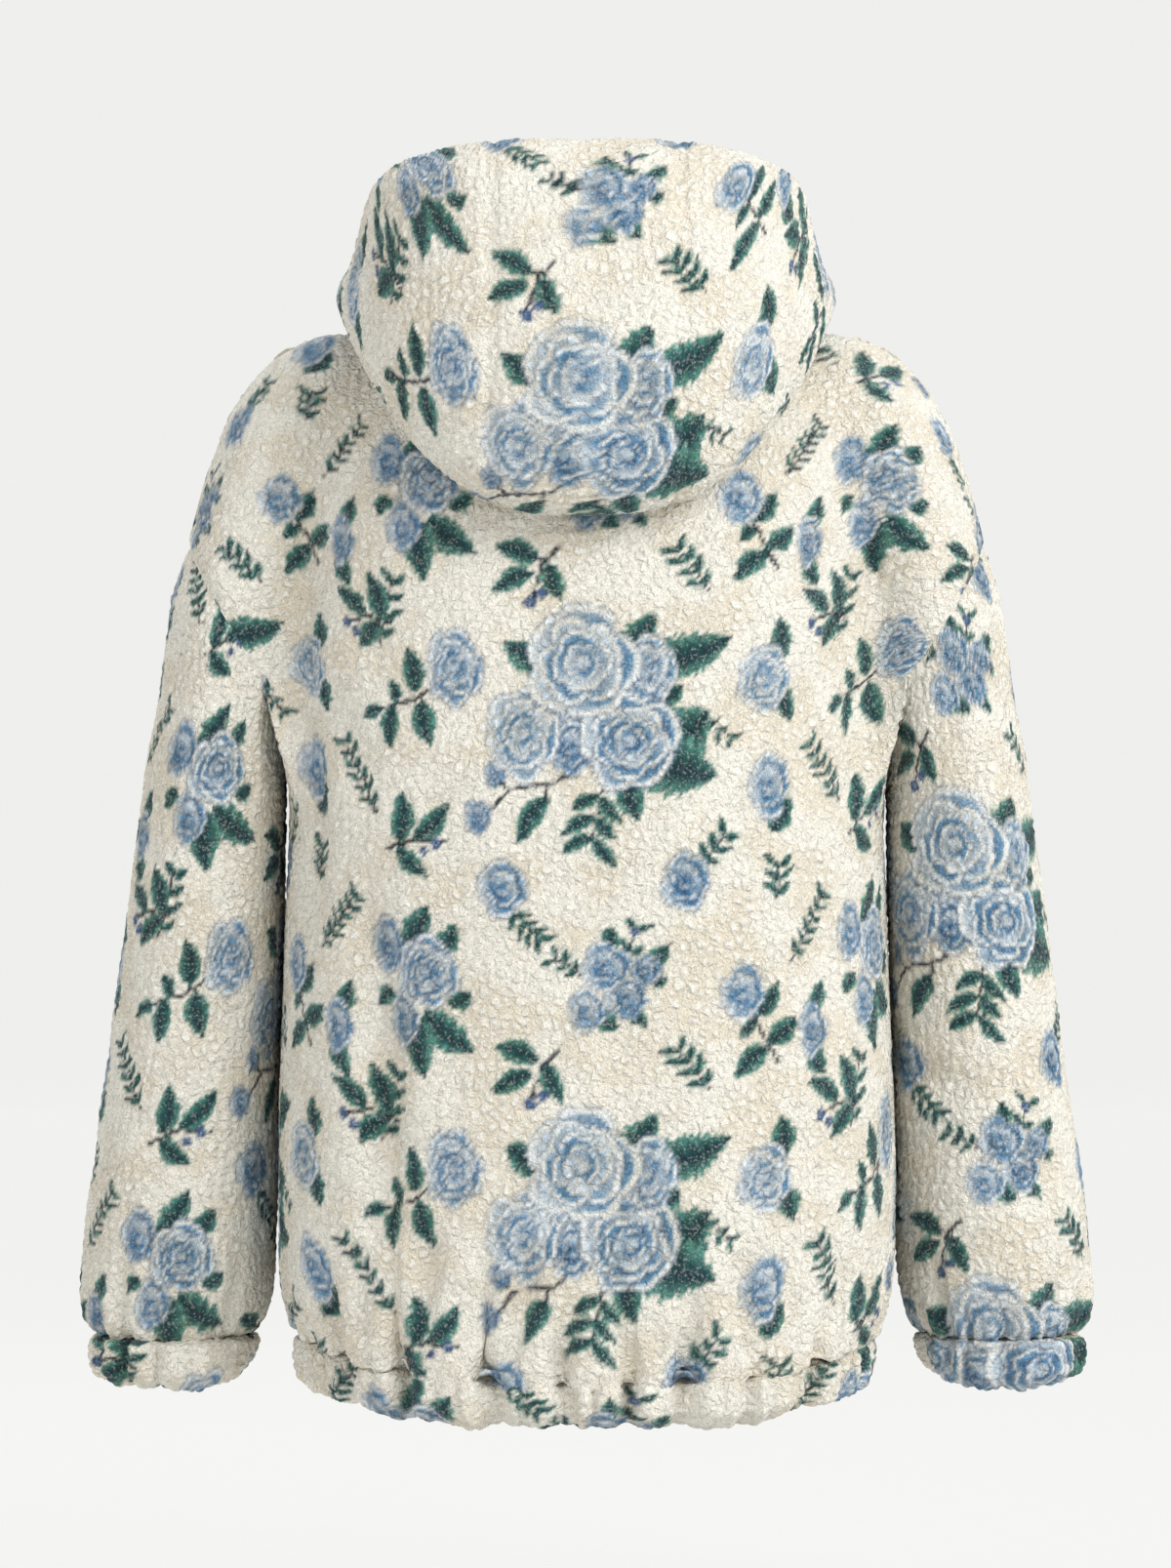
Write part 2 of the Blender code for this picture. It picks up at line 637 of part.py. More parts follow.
def make_body():
    """Grids and outward directions of the back, right front, left front, right and left sleeves."""
    back_half = quarter("back")
    front_right = quarter("front")[:, ::-1]
    back = np.concatenate([mirrored(back_half)[:, :-1], back_half], axis=1)
    grids = [back, front_right, mirrored(front_right), sleeve_grid(), mirrored(sleeve_grid())]
    normals = grid_normals(grids)
    for k, side in enumerate(("back", "front", "front")):
        grids[k] = grids[k] + fold_at(grids[k], side)[..., None] * normals[k]
    normals = grid_normals(grids)
    for sleeve in grids[3:]:
        line = sleeve[-1]
        directions = seam_directions(line, grids[:3], [sleeve])
        share({near(p): n for p, n in zip(line, directions)}, grids, normals)
    normals = [eased(grid, normal) for grid, normal in zip(grids, normals)]
    for normal, zip_edge in ((normals[1], -1), (normals[2], 0)):
        normal[:, zip_edge, 0] = 0
        normal[:] = unit(normal)
    return grids, normals


def make_hood(cloth, grids, normals):
    """The hood's three panels. The seam's cloth edge is shared with the body's neck."""
    behind = grids[0][-1, QUARTER : QUARTER + NECK_COLUMNS + 1]
    before = grids[1][-1, -NECK_COLUMNS - 1 :]
    neck = np.concatenate([behind, before[1:]])
    half = hood_grid(half_steps(neck))
    whole = np.concatenate([mirrored(half)[:, :-1], half], axis=1)
    out = grid_normals([whole])[0]
    line = whole[0, ::2]
    directions = seam_directions(line, grids[:3], [whole])
    directions[np.abs(line[:, 1]) < OFF_STEP, 1] = 0
    out[0, ::2] = directions
    out[:, (0, -1), 0] = 0
    out = unit(out)
    # Between the body's columns the hood's edge follows the straight line from one to the next.
    out[0, 1::2] = (out[0, :-1:2] + out[0, 2::2]) / 2
    share({near(p): n for p, n in zip(line, out[0, ::2])}, grids[:3], normals[:3])
    normals[:3] = [eased(grid, normal) for grid, normal in zip(grids[:3], normals)]
    out = eased(whole, out)
    middle = half.shape[1] - 1
    first = middle - HOOD_SEAM
    last = middle + HOOD_SEAM
    for name, span in (
        ("hood_side_left", slice(0, first + 1)),
        ("hood_centre", slice(first, last + 1)),
        ("hood_side_right", slice(last, None)),
    ):
        add_wall(name, whole[:, span], out[:, span], cloth)


def make_casings(cloth, grids):
    back, front_right, front_left = grids[:3]
    ring = np.concatenate([front_right[0][::-1], back[0][::-1][1:], front_left[0][::-1][1:]])
    add_band("hem_casing", casing_rings(ring, ring_outward(ring, False), 26, 0.0016), cloth, False)
    turn = np.linspace(0, 2 * math.pi, CUFF_COLUMNS, endpoint=False)
    cuff = sleeve_ring(SLEEVE_ROWS[0], 0, turn)
    rings = casing_rings(cuff, ring_outward(cuff, True), 12, 0.0012)
    add_band("cuff_casing_right", rings, cloth, True)
    add_band("cuff_casing_left", [level * (-1, 1, 1) for level in rings], cloth, True)


def make_jacket(cloth):
    grids, normals = make_body()
    make_hood(cloth, grids, normals)
    names = ("front_right", "front_left", "sleeve_right", "sleeve_left")
    for name, grid, normal in zip(names, grids[1:], normals[1:]):
        add_wall(name, grid, normal, cloth, closed=name.startswith("sleeve"))
    # One cloth panel in two solids, so that each of them stays a simple curve.
    add_wall("back_panel", grids[0][: YOKE_ROW + 1], normals[0][: YOKE_ROW + 1], cloth)
    add_wall("back_yoke", grids[0][YOKE_ROW:], normals[0][YOKE_ROW:], cloth)
    make_casings(cloth, grids)
    return grids[1][:, -1]


# Depths in the zip, measured out of the fronts' outer face.
TAPE_FACE = -0.0015
CHAIN_FACE = -0.0010
SLIDER_FACE = 0.0010
SLIDER_LONG = 0.014
SLIDER_HALF = 0.0050
LUG_INNER = 0.0021
LUG_OUTER = 0.0036
LUG_TOP = 0.0042
HINGE_OUT = 0.0027
END_BOX_LONG = 0.009
SLOT_GAP = 0.0003
TAB_HALF_NECK = 0.0017
TAB_HALF_END = 0.0036
TAB_HALF_THICK = 0.0007
ZIP_LAST_ROW = 6  # the fronts' row below which the zip runs straight on over the casing


def zip_line(edge):
    """The zip's path in Y and Z on the fronts' outer face, from the hem up to the neck."""
    hem_y = BODY("front", BODY_ROWS[0])
    hem_z = BODY_ROWS[0] + BODY("sag", BODY_ROWS[0]) - CASING_TALL
    low = [(hem_y + 0.0030, hem_z), (hem_y + 0.0045, hem_z + 0.024), (hem_y + 0.0110, hem_z + 0.050)]
    return np.array(low + [(y, z) for _, y, z in edge[ZIP_LAST_ROW - 1 :]])


class Path:
    """A line in the plane X = 0, with its length, and its direction and outward side at any place."""

    def __init__(self, line):
        self.line = line
        self.along = np.concatenate([[0], np.cumsum(np.linalg.norm(np.diff(line, axis=0), axis=1))])
        self.length = self.along[-1]

    def at(self, distance):
        return np.array([np.interp(distance, self.along, self.line[:, k]) for k in (0, 1)])

    def up(self, distance):
        ahead = self.at(min(distance + 0.004, self.length)) - self.at(max(distance - 0.004, 0))
        return ahead / np.linalg.norm(ahead)

    def out(self, distance):
        y, z = self.up(distance)
        return np.array([z, -y])


def add_strip(name, path, start, end, sides, depths, material):
    """A bar along the zip between two distances, two places in X and two depths."""
    inside = path.along[(path.along > start + 0.004) & (path.along < end - 0.004)]
    stations = [start, *inside, end]
    rings = []
    for x, out in ((0, 0), (1, 0), (1, 1), (0, 1)):
        line = [path.at(d) + depths[out] * path.out(d) for d in stations]
        rings.append([(sides[x], y, z) for y, z in line])
    return add_band(name, rings, material, False)


def add_box(name, low, high, material):
    bm = bmesh.new()
    bmesh.ops.create_cube(bm, size=1)
    size = np.subtract(high, low)
    middle = np.add(high, low) / 2
    bmesh.ops.scale(bm, vec=size.tolist(), verts=bm.verts)
    bmesh.ops.translate(bm, vec=middle.tolist(), verts=bm.verts)
    mesh = bpy.data.meshes.new(name)
    bm.to_mesh(mesh)
    bm.free()
    mesh.materials.append(material)
    obj = bpy.data.objects.new(name, mesh)
    bpy.context.scene.collection.objects.link(obj)
    return obj


def join_to(obj, helper):
    """Joins a helper to an object with a Boolean, and keeps the helper out of the render."""
    helper.hide_render = True
    helper.display_type = "WIRE"
    union = obj.modifiers.new(helper.name, "BOOLEAN")
    union.operation = "UNION"
    union.object = helper


def set_on_zip(objects, path, distance, out=0.0):
    """Places objects on the zip: X across, Y down the zip, Z outwards."""
    y, z = path.at(distance) + out * path.out(distance)
    up_y, up_z = path.up(distance)
    for obj in objects:
        obj.location = (0, y, z)
        obj.rotation_euler = (math.atan2(-up_z, -up_y), 0, 0)


def make_zip(edge, tape, metal):
    path = Path(zip_line(edge))
    outer = ZIP_HALF_GAP - HALF_PART
    tape_depths = (TAPE_FACE - TAPE_THICK, TAPE_FACE)
    add_strip("zip_tape_right", path, 0, path.length, (TAPE_INNER, outer), tape_depths, tape)
    add_strip("zip_tape_left", path, 0, path.length, (-outer, -TAPE_INNER), tape_depths, tape)
    slider_at = path.length - 0.004 - SLIDER_LONG / 2
    chain = (END_BOX_LONG + 0.001 + SLOT_GAP, slider_at - SLIDER_LONG / 2 - SLOT_GAP)
    chain_depths = (CHAIN_FACE - CHAIN_THICK, CHAIN_FACE)
    add_strip("zip_chain", path, *chain, (-CHAIN_HALF, CHAIN_HALF), chain_depths, metal)
    plate_low = TAPE_FACE + SLOT_GAP
    tongue_low = TAPE_FACE - TAPE_THICK
    for name, long, place in (
        ("zip_end_box", END_BOX_LONG, 0.001 + END_BOX_LONG / 2),
        ("zip_slider", SLIDER_LONG, slider_at),
    ):
        half = long / 2
        body = add_box(name, (-SLIDER_HALF, -half, plate_low), (SLIDER_HALF, half, SLIDER_FACE), metal)
        tongue = (-CHAIN_HALF, -half, tongue_low), (CHAIN_HALF, half, plate_low + 0.001)
        helpers = [add_box(name + "_tongue", *tongue, metal)]
        if name == "zip_slider":
            for way in (-1, 1):
                lug_x = sorted((way * LUG_INNER, way * LUG_OUTER))
                low = (lug_x[0], -0.0045, SLIDER_FACE - 0.001)
                high = (lug_x[1], -0.0005, LUG_TOP)
                helpers.append(add_box(f"{name}_lug_{way + 1}", low, high, metal))
        for helper in helpers:
            join_to(body, helper)
        set_on_zip([body, *helpers], path, place)
    make_pull_tab(path, slider_at + 0.0025, metal)


def make_pull_tab(path, distance, metal):
    """The tab that hangs from the slider. Its origin is on its hinge, which runs along X."""
    outline = [(-TAB_HALF_NECK, -0.0011), (TAB_HALF_NECK, -0.0011), (TAB_HALF_NECK, 0.0065)]
    middle = TAB_LENGTH - TAB_HALF_END
    for turn in np.linspace(0, math.pi, 9):
        outline.append((TAB_HALF_END * math.cos(turn), middle + TAB_HALF_END * math.sin(turn)))
    outline.append((-TAB_HALF_NECK, 0.0065))
    bm = bmesh.new()
    face = bm.faces.new([bm.verts.new((x, y, -TAB_HALF_THICK)) for x, y in outline])
    sides = bmesh.ops.extrude_face_region(bm, geom=[face])
    top = [v for v in sides["geom"] if isinstance(v, bmesh.types.BMVert)]
    bmesh.ops.translate(bm, vec=(0, 0, 2 * TAB_HALF_THICK), verts=top)
    bmesh.ops.recalc_face_normals(bm, faces=bm.faces)
    mesh = bpy.data.meshes.new("zip_pull_tab")
    bm.to_mesh(mesh)
    bm.free()
    mesh.materials.append(metal)
    tab = bpy.data.objects.new("zip_pull_tab", mesh)
    bpy.context.scene.collection.objects.link(tab)
    set_on_zip([tab], path, distance, HINGE_OUT)


def main():
    clear_scene()
    cloth = make_material("printed_sherpa", (0.86, 0.80, 0.68), 0.95)
    tape = make_material("zip_tape", (0.72, 0.66, 0.55), 0.8)
    metal = make_material("zip_metal", (0.62, 0.60, 0.56), 0.35, 0.9)
    edge = make_jacket(cloth)
    make_zip(edge, tape, metal)


main()
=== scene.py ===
import math

import bmesh
import bpy
import numpy as np
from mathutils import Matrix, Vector, kdtree


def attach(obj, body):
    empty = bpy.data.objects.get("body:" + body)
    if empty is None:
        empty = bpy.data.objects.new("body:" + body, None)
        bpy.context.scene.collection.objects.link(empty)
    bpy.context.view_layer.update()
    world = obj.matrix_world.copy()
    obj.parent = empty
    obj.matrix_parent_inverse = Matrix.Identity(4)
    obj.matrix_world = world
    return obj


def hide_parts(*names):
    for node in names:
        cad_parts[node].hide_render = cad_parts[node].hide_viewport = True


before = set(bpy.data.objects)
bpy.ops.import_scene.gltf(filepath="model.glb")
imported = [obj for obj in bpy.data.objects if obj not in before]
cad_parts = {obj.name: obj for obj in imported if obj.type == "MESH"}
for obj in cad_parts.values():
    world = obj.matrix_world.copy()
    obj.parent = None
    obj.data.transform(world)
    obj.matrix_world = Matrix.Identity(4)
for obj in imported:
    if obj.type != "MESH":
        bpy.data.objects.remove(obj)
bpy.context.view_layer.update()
print("frame loaded")


# rows of measures under named columns, read between the rows along a smooth curve
class Table:
    def __init__(self, names, rows):
        self.names = names.split()
        self.rows = np.array(sorted(rows), float)

    def __call__(self, name, at):
        x = self.rows[:, 0]
        y = self.rows[:, self.names.index(name)]
        slope = np.gradient(y, x)
        i = np.clip(np.searchsorted(x, at) - 1, 0, len(x) - 2)
        step = x[i + 1] - x[i]
        u = np.clip((at - x[i]) / step, 0, 1)
        rise = u * u * (3 - 2 * u)
        bend = u * (1 - u) ** 2 * slope[i] - u * u * (1 - u) * slope[i + 1]
        return y[i] + (y[i + 1] - y[i]) * rise + step * bend


# the garment's form, in metres, as the solids have it
jacket = {
    "underarmZ": -0.250,
    "armholeTopZ": -0.140,
    "neckHalf": 0.090,
    "backNeckZ": -0.018,
    "frontNeckZ": -0.062,
    "shoulderRound": 0.065,
    "creaseSoft": 0.024,
    "bodySquare": 2.6,
    "armSquare": 2.2,
    "zipHalfGap": 0.0085,
    "bodyFoot": -0.663,  # the seams above the casings
    "sleeveFoot": -0.6665,
    "sleeveTop": -0.225,  # where its level rings end below the armhole
    "drawFrom": -0.460,
    "columns": 19,  # of the solid, from the middle to the armhole's corner
    "neckColumns": 6,
    "armholeSteps": 10,
    "lowSteps": 3,
    "cloth": 0.005,  # backing and pile together
}
body = Table(
    "z halfWidth back front sag",
    [
        (0.010, 0.120, 0.070, 0.062, 0.000),
        (-0.020, 0.150, 0.092, 0.086, 0.000),
        (-0.050, 0.174, 0.114, 0.112, 0.000),
        (-0.090, 0.187, 0.134, 0.134, 0.000),
        (-0.150, 0.191, 0.146, 0.147, 0.000),
        (-0.250, 0.195, 0.151, 0.151, 0.000),
        (-0.350, 0.198, 0.155, 0.153, 0.000),
        (-0.450, 0.2015, 0.158, 0.155, 0.000),
        (-0.550, 0.2045, 0.160, 0.157, -0.008),
        (-0.590, 0.2045, 0.161, 0.158, -0.018),
        (-0.615, 0.2040, 0.162, 0.158, -0.027),
        (-0.635, 0.2020, 0.161, 0.157, -0.032),
        (-0.650, 0.1985, 0.157, 0.154, -0.033),
        (-0.660, 0.1940, 0.150, 0.147, -0.030),
        (-0.663, 0.1890, 0.143, 0.140, -0.021),
    ],
)

sleeve = Table(
    "z inner outer middle halfDepth web",
    [
        (0.004, 0.050, 0.178, 0.000, 0.045, 0.030),
        (-0.020, 0.080, 0.2145, 0.000, 0.055, 0.045),
        (-0.050, 0.110, 0.2365, 0.000, 0.066, 0.058),
        (-0.100, 0.150, 0.2550, 0.000, 0.075, 0.067),
        (-0.140, 0.174, 0.2655, 0.000, 0.078, 0.066),
        (-0.160, 0.182, 0.2720, 0.000, 0.079, 0.065),
        (-0.200, 0.190, 0.2785, 0.000, 0.079, 0.064),
        (-0.250, 0.195, 0.2860, 0.002, 0.079, 0.062),
        (-0.280, 0.2000, 0.2915, 0.004, 0.079, 0.050),
        (-0.320, 0.2025, 0.2970, 0.008, 0.078, 0.050),
        (-0.400, 0.2040, 0.3080, 0.014, 0.077, 0.050),
        (-0.500, 0.2065, 0.3220, 0.022, 0.076, 0.050),
        (-0.600, 0.2085, 0.3355, 0.028, 0.074, 0.050),
        (-0.630, 0.2095, 0.3390, 0.030, 0.071, 0.050),
        (-0.655, 0.2155, 0.3370, 0.030, 0.065, 0.050),
        (-0.6665, 0.2225, 0.3300, 0.030, 0.058, 0.050),
    ],
)

shoulder = Table(
    "x z",
    [
        (0.000, 0.012),
        (0.090, 0.0035),
        (0.130, 0.003),
        (0.178, 0.000),
        (0.190, -0.003),
        (0.203, -0.010),
        (0.218, -0.023),
        (0.229, -0.037),
        (0.2365, -0.050),
        (0.245, -0.070),
        (0.253, -0.092),
        (0.259, -0.114),
        (0.2655, -0.140),
    ],
)

foldNames = "side x lean top foot width depth"
foldEdges = {
    "free": 0.190,  # no fold lies further out from the middle than this
    "fade": 0.015,
    "shortest": 0.02,
    "share": 0.35,  # of a fold's length, over which it dies away at its top
}
folds = [
    ("back", -0.170, 0.05, -0.600, -0.668, 0.010, -0.0060),
    ("back", -0.146, 0.05, -0.590, -0.672, 0.009, -0.0050),
    ("back", -0.112, -0.12, -0.575, -0.678, 0.010, -0.0085),
    ("back", -0.084, -0.05, -0.610, -0.680, 0.009, -0.0050),
    ("back", -0.054, -0.22, -0.585, -0.684, 0.010, -0.0085),
    ("back", -0.018, -0.12, -0.620, -0.686, 0.009, -0.0070),
    ("back", 0.024, 0.08, -0.600, -0.686, 0.010, -0.0065),
    ("back", 0.047, 0.10, -0.635, -0.684, 0.008, -0.0040),
    ("back", 0.072, 0.06, -0.605, -0.682, 0.010, -0.0060),
    ("back", 0.102, 0.02, -0.590, -0.680, 0.010, -0.0075),
    ("back", 0.134, -0.04, -0.615, -0.674, 0.009, -0.0050),
    ("back", 0.163, -0.05, -0.595, -0.668, 0.010, -0.0060),
    ("back", -0.131, 0.02, -0.330, -0.600, 0.018, -0.0055),
    ("back", 0.157, 0.02, -0.080, -0.460, 0.016, -0.0055),
    ("front", -0.166, 0.04, -0.595, -0.668, 0.010, -0.0060),
    ("front", -0.135, 0.08, -0.610, -0.674, 0.009, -0.0055),
    ("front", -0.104, -0.06, -0.580, -0.678, 0.010, -0.0080),
    ("front", -0.071, -0.10, -0.605, -0.682, 0.009, -0.0060),
    ("front", -0.040, -0.05, -0.620, -0.684, 0.009, -0.0055),
    ("front", 0.044, 0.08, -0.600, -0.684, 0.010, -0.0070),
    ("front", 0.078, 0.04, -0.615, -0.682, 0.009, -0.0055),
    ("front", 0.109, 0.10, -0.585, -0.678, 0.010, -0.0080),
    ("front", 0.139, 0.00, -0.605, -0.674, 0.009, -0.0060),
    ("front", 0.168, -0.05, -0.600, -0.668, 0.010, -0.0055),
    ("front", -0.125, 0.03, -0.120, -0.420, 0.018, -0.0050),
    ("front", 0.140, -0.02, -0.250, -0.560, 0.018, -0.0050),
]

hood = Table(
    "along halfWidth back front zBack zSide zFront square",
    [
        (0.00, 0.090, 0.078, 0.118, -0.018, 0.0035, -0.062, 2.0),
        (0.10, 0.106, 0.120, 0.128, -0.052, 0.0105, -0.056, 2.2),
        (0.20, 0.129, 0.142, 0.134, -0.095, 0.0120, -0.051, 2.5),
        (0.30, 0.146, 0.163, 0.136, -0.124, 0.0130, -0.048, 2.7),
        (0.40, 0.157, 0.187, 0.140, -0.116, 0.0140, -0.041, 2.8),
        (0.52, 0.164, 0.207, 0.142, -0.078, 0.0220, -0.032, 2.8),
        (0.64, 0.1625, 0.216, 0.141, -0.026, 0.0340, -0.022, 2.8),
        (0.76, 0.1555, 0.211, 0.138, 0.022, 0.0480, -0.012, 2.9),
        (0.86, 0.1500, 0.198, 0.133, 0.071, 0.0670, -0.003, 3.0),
        (0.94, 0.1460, 0.180, 0.127, 0.103, 0.0830, 0.003, 3.1),
        (1.00, 0.142, 0.156, 0.119, 0.1185, 0.0930, 0.006, 3.1),
    ],
)

facing = {"back": -1, "front": 1}  # along y

# how finely the sheets are divided: points for each of the solid's steps, or the gaps between rows
fineness = {
    "columns": 6,
    "armhole": 14,
    "rowGap": 0.0023,
    "hoodPerColumn": 4,
    "sleeveRowGap": 0.0026,
    "reverse": 6,  # the knitted reverse takes every sixth row and column
    "dense": 900,
    "liftReach": 0.080,  # over this height the rows below the arm rise to the armhole
    "tiltFrom": -0.40,  # from here up the sleeve's rings tilt towards the armhole
}


def smoothStep(value):
    value = np.clip(value, 0, 1)
    return value * value * (3 - 2 * value)


def unit(vectors):
    return vectors / np.maximum(np.linalg.norm(vectors, axis=-1, keepdims=True), 1e-12)


def signedPower(value, power):
    return np.sign(value) * np.abs(value) ** power


def oval(across, power):
    return signedPower(1 - np.abs(across) ** power, 1 / power)


# full on a line, and fading away on both sides of it
def bell(gap, wide):
    return np.exp(-((gap / wide) ** 2))


# how far along a line each of its points lies
def lengthsAlong(line):
    return np.concatenate([[0], np.cumsum(np.linalg.norm(np.diff(line, axis=0), axis=1))])


def softMax(a, b, soft):
    mix = np.clip(0.5 + 0.5 * (a - b) / soft, 0, 1)
    return b + (a - b) * mix + soft * mix * (1 - mix)


# how far the upper body stands out from the middle plane: body and arm run into one form
def depthAt(x, z, side):
    torso = body(side, z) * oval(x / body("halfWidth", z), jacket["bodySquare"])
    inner = sleeve("inner", z)
    outer = sleeve("outer", z)
    arm = sleeve("halfDepth", z) * oval((2 * x - inner - outer) / (outer - inner), jacket["armSquare"])
    web = np.where(2 * x < inner + outer, sleeve("web", z), -1)
    turned = jacket["shoulderRound"]
    over = np.clip((z - shoulder("z", x) + turned) / turned, 0, 1)
    turn = (1 - over**2.5) ** 0.4
    both = softMax(torso, arm, jacket["creaseSoft"])
    return np.maximum(softMax(both, web, jacket["creaseSoft"]), 0) * turn


def topEdge(x, side):
    low = jacket["backNeckZ"] if side == "back" else jacket["frontNeckZ"]
    sideZ = shoulder("z", jacket["neckHalf"])
    bow = np.sqrt(np.clip(1 - (x / jacket["neckHalf"]) ** 2, 0, 1))
    neck = sideZ + (low - sideZ) * (bow if side == "front" else bow**1.5)
    return np.where(x < jacket["neckHalf"], neck, shoulder("z", x))


# points of the armhole seam, counted from 0 under the arm to armholeSteps on top of it
def armhole(step, side):
    step = np.asarray(step, float)
    turn = step * math.pi / jacket["armholeSteps"]
    half = (jacket["armholeTopZ"] - jacket["underarmZ"]) / 2
    z = jacket["underarmZ"] + half - half * np.cos(turn)
    inner = sleeve("inner", z)
    outer = sleeve("outer", z)
    x = (inner + outer) / 2 - (outer - inner) / 2 * np.cos(turn)
    low = sleeve("halfDepth", z) * np.sin(turn)
    share = smoothStep(step - jacket["lowSteps"] + 1)
    out = low + (depthAt(x, z, side) - low) * share
    out = np.where(step >= jacket["armholeSteps"], 0, out)
    return np.stack([x, out * facing[side], z], axis=-1)


def spaced(line, shares):
    along = lengthsAlong(line)
    return np.stack([np.interp(shares * along[-1], along, line[:, k]) for k in range(3)], axis=1)


def columnCounts():
    free = jacket["columns"] * fineness["columns"]
    low = jacket["lowSteps"] * fineness["armhole"]
    return free, low, jacket["neckColumns"] * fineness["columns"]


# a quarter ring of the body below the arms, from the middle to the side
def lowerRow(z, side):
    free, low, _ = columnCounts()
    start = 0.0 if side == "back" else jacket["zipHalfGap"]
    width = body("halfWidth", z)
    square = jacket["bodySquare"]
    first = math.asin((start / width) ** (square / 2))
    turn = np.linspace(first, math.pi / 2, fineness["dense"])
    x = width * np.sin(turn) ** (2 / square)
    bulge = np.clip(np.cos(turn), 0, 1) ** (2 / square)
    y = body(side, z) * bulge * facing[side]
    line = np.stack([x, y, z + body("sag", z) * bulge**2], axis=1)
    count = np.arange(free + low + 1)
    evenLow = jacket["lowSteps"] / (jacket["columns"] + jacket["lowSteps"])
    even = np.interp(count, [0, free, free + low], [0, 1 - evenLow, 1])
    length = lengthsAlong(line)[-1]
    steps = np.linspace(jacket["lowSteps"], 0, low + 1)
    reach = np.abs(armhole(steps, side)[:, 1]) / length
    drawn = np.concatenate([np.linspace(0, 1 - reach[0], free + 1), 1 - reach[1:]])
    share = smoothStep((z - jacket["drawFrom"]) / (jacket["underarmZ"] - jacket["drawFrom"]))
    return spaced(line, even + (drawn - even) * share)


# a row above the underarm, from the middle to the armhole seam; the rest of it is left out
def upperRow(step, side):
    free, low, neckCount = columnCounts()
    rises = jacket["armholeSteps"] - jacket["lowSteps"]
    share = step / rises
    end = armhole(jacket["lowSteps"] + step, side)
    start = 0.0 if side == "back" else jacket["zipHalfGap"]
    underarmZ = jacket["underarmZ"]
    x = start + (end[0] - start) * np.sin(np.linspace(0, math.pi / 2, fineness["dense"]))
    atEnd = (end[2] - underarmZ) / (float(topEdge(end[0], side)) - underarmZ)
    rise = share + (atEnd - share) * (x / end[0]) ** 3
    z = underarmZ + (topEdge(x, side) - underarmZ) * rise
    out = depthAt(x, z, side)
    line = np.stack([x, out * facing[side], z], axis=1)
    line[-1] = end
    steps = lengthsAlong(line)
    neckShare = np.interp(jacket["neckHalf"], x, steps) / steps[-1]
    top = np.interp(np.arange(free + 1), [0, neckCount, free], [0, neckShare, 1])
    even = np.linspace(0, 1, free + 1)
    row = spaced(line, even + (top - even) * share**2)
    if step == rises:
        row[neckCount:] = shoulderSeam(free - neckCount)
    if step == 0:
        rest = armhole(np.linspace(jacket["lowSteps"], 0, low + 1)[1:], side)
    else:
        rest = np.full((low, 3), math.nan)
    return np.concatenate([row, rest])


def shoulderSeam(count):
    x = np.linspace(jacket["neckHalf"], float(armhole(jacket["armholeSteps"], "back")[0]), fineness["dense"])
    line = np.stack([x, 0 * x, shoulder("z", x)], axis=1)
    return spaced(line, np.linspace(0, 1, count + 1))


def mirrored(grid):
    return grid[:, ::-1] * (-1, 1, 1)


# how far the folds push each point outwards
def foldAt(points, side):
    x, _, z = np.moveaxis(points, -1, 0)
    push = np.zeros(x.shape)
    for row in folds:
        fold = dict(zip(foldNames.split(), row))
        if fold["side"] != side:
            continue
        centre = fold["x"] - fold["lean"] * (z - fold["foot"])
        across = bell(x - centre, fold["width"])
        fade = max(foldEdges["shortest"], foldEdges["share"] * (fold["top"] - fold["foot"]))
        down = smoothStep((fold["top"] - z) / fade)
        up = smoothStep((z - fold["foot"]) / foldEdges["shortest"])
        push += fold["depth"] * across * down * up
    push[:, (0, -1)] = 0
    return push * smoothStep((foldEdges["free"] - np.abs(x)) / foldEdges["fade"])


# the row of the body's sheets that lies under the arm
underarmRow = int(round((jacket["underarmZ"] - jacket["bodyFoot"]) / fineness["rowGap"]))


# a quarter of the body, from the hem's seam to the shoulder
def quarter(side):
    underarmZ = jacket["underarmZ"]
    levels = np.linspace(jacket["bodyFoot"], underarmZ, underarmRow + 1)[:-1]
    rises = jacket["armholeSteps"] - jacket["lowSteps"]
    lift = upperRow(0, side) - lowerRow(underarmZ, side)
    reach = fineness["liftReach"]
    rows = [lowerRow(z, side) + lift * smoothStep(1 + (z - underarmZ) / reach) for z in levels]
    rows += [upperRow(step, side) for step in np.linspace(0, rises, rises * fineness["armhole"] + 1)]
    return np.array(rows)


def sleeveRing(level, tilt, turn):
    z = level - tilt * np.cos(turn)
    inner = sleeve("inner", z)
    outer = sleeve("outer", z)
    square = jacket["armSquare"]
    around = signedPower(np.sin(turn), 2 / square)
    outward = signedPower(np.cos(turn), 2 / square)
    x = (inner + outer) / 2 - (outer - inner) / 2 * outward
    y = sleeve("middle", z) - sleeve("halfDepth", z) * around
    return np.stack([x, y, z], axis=1)


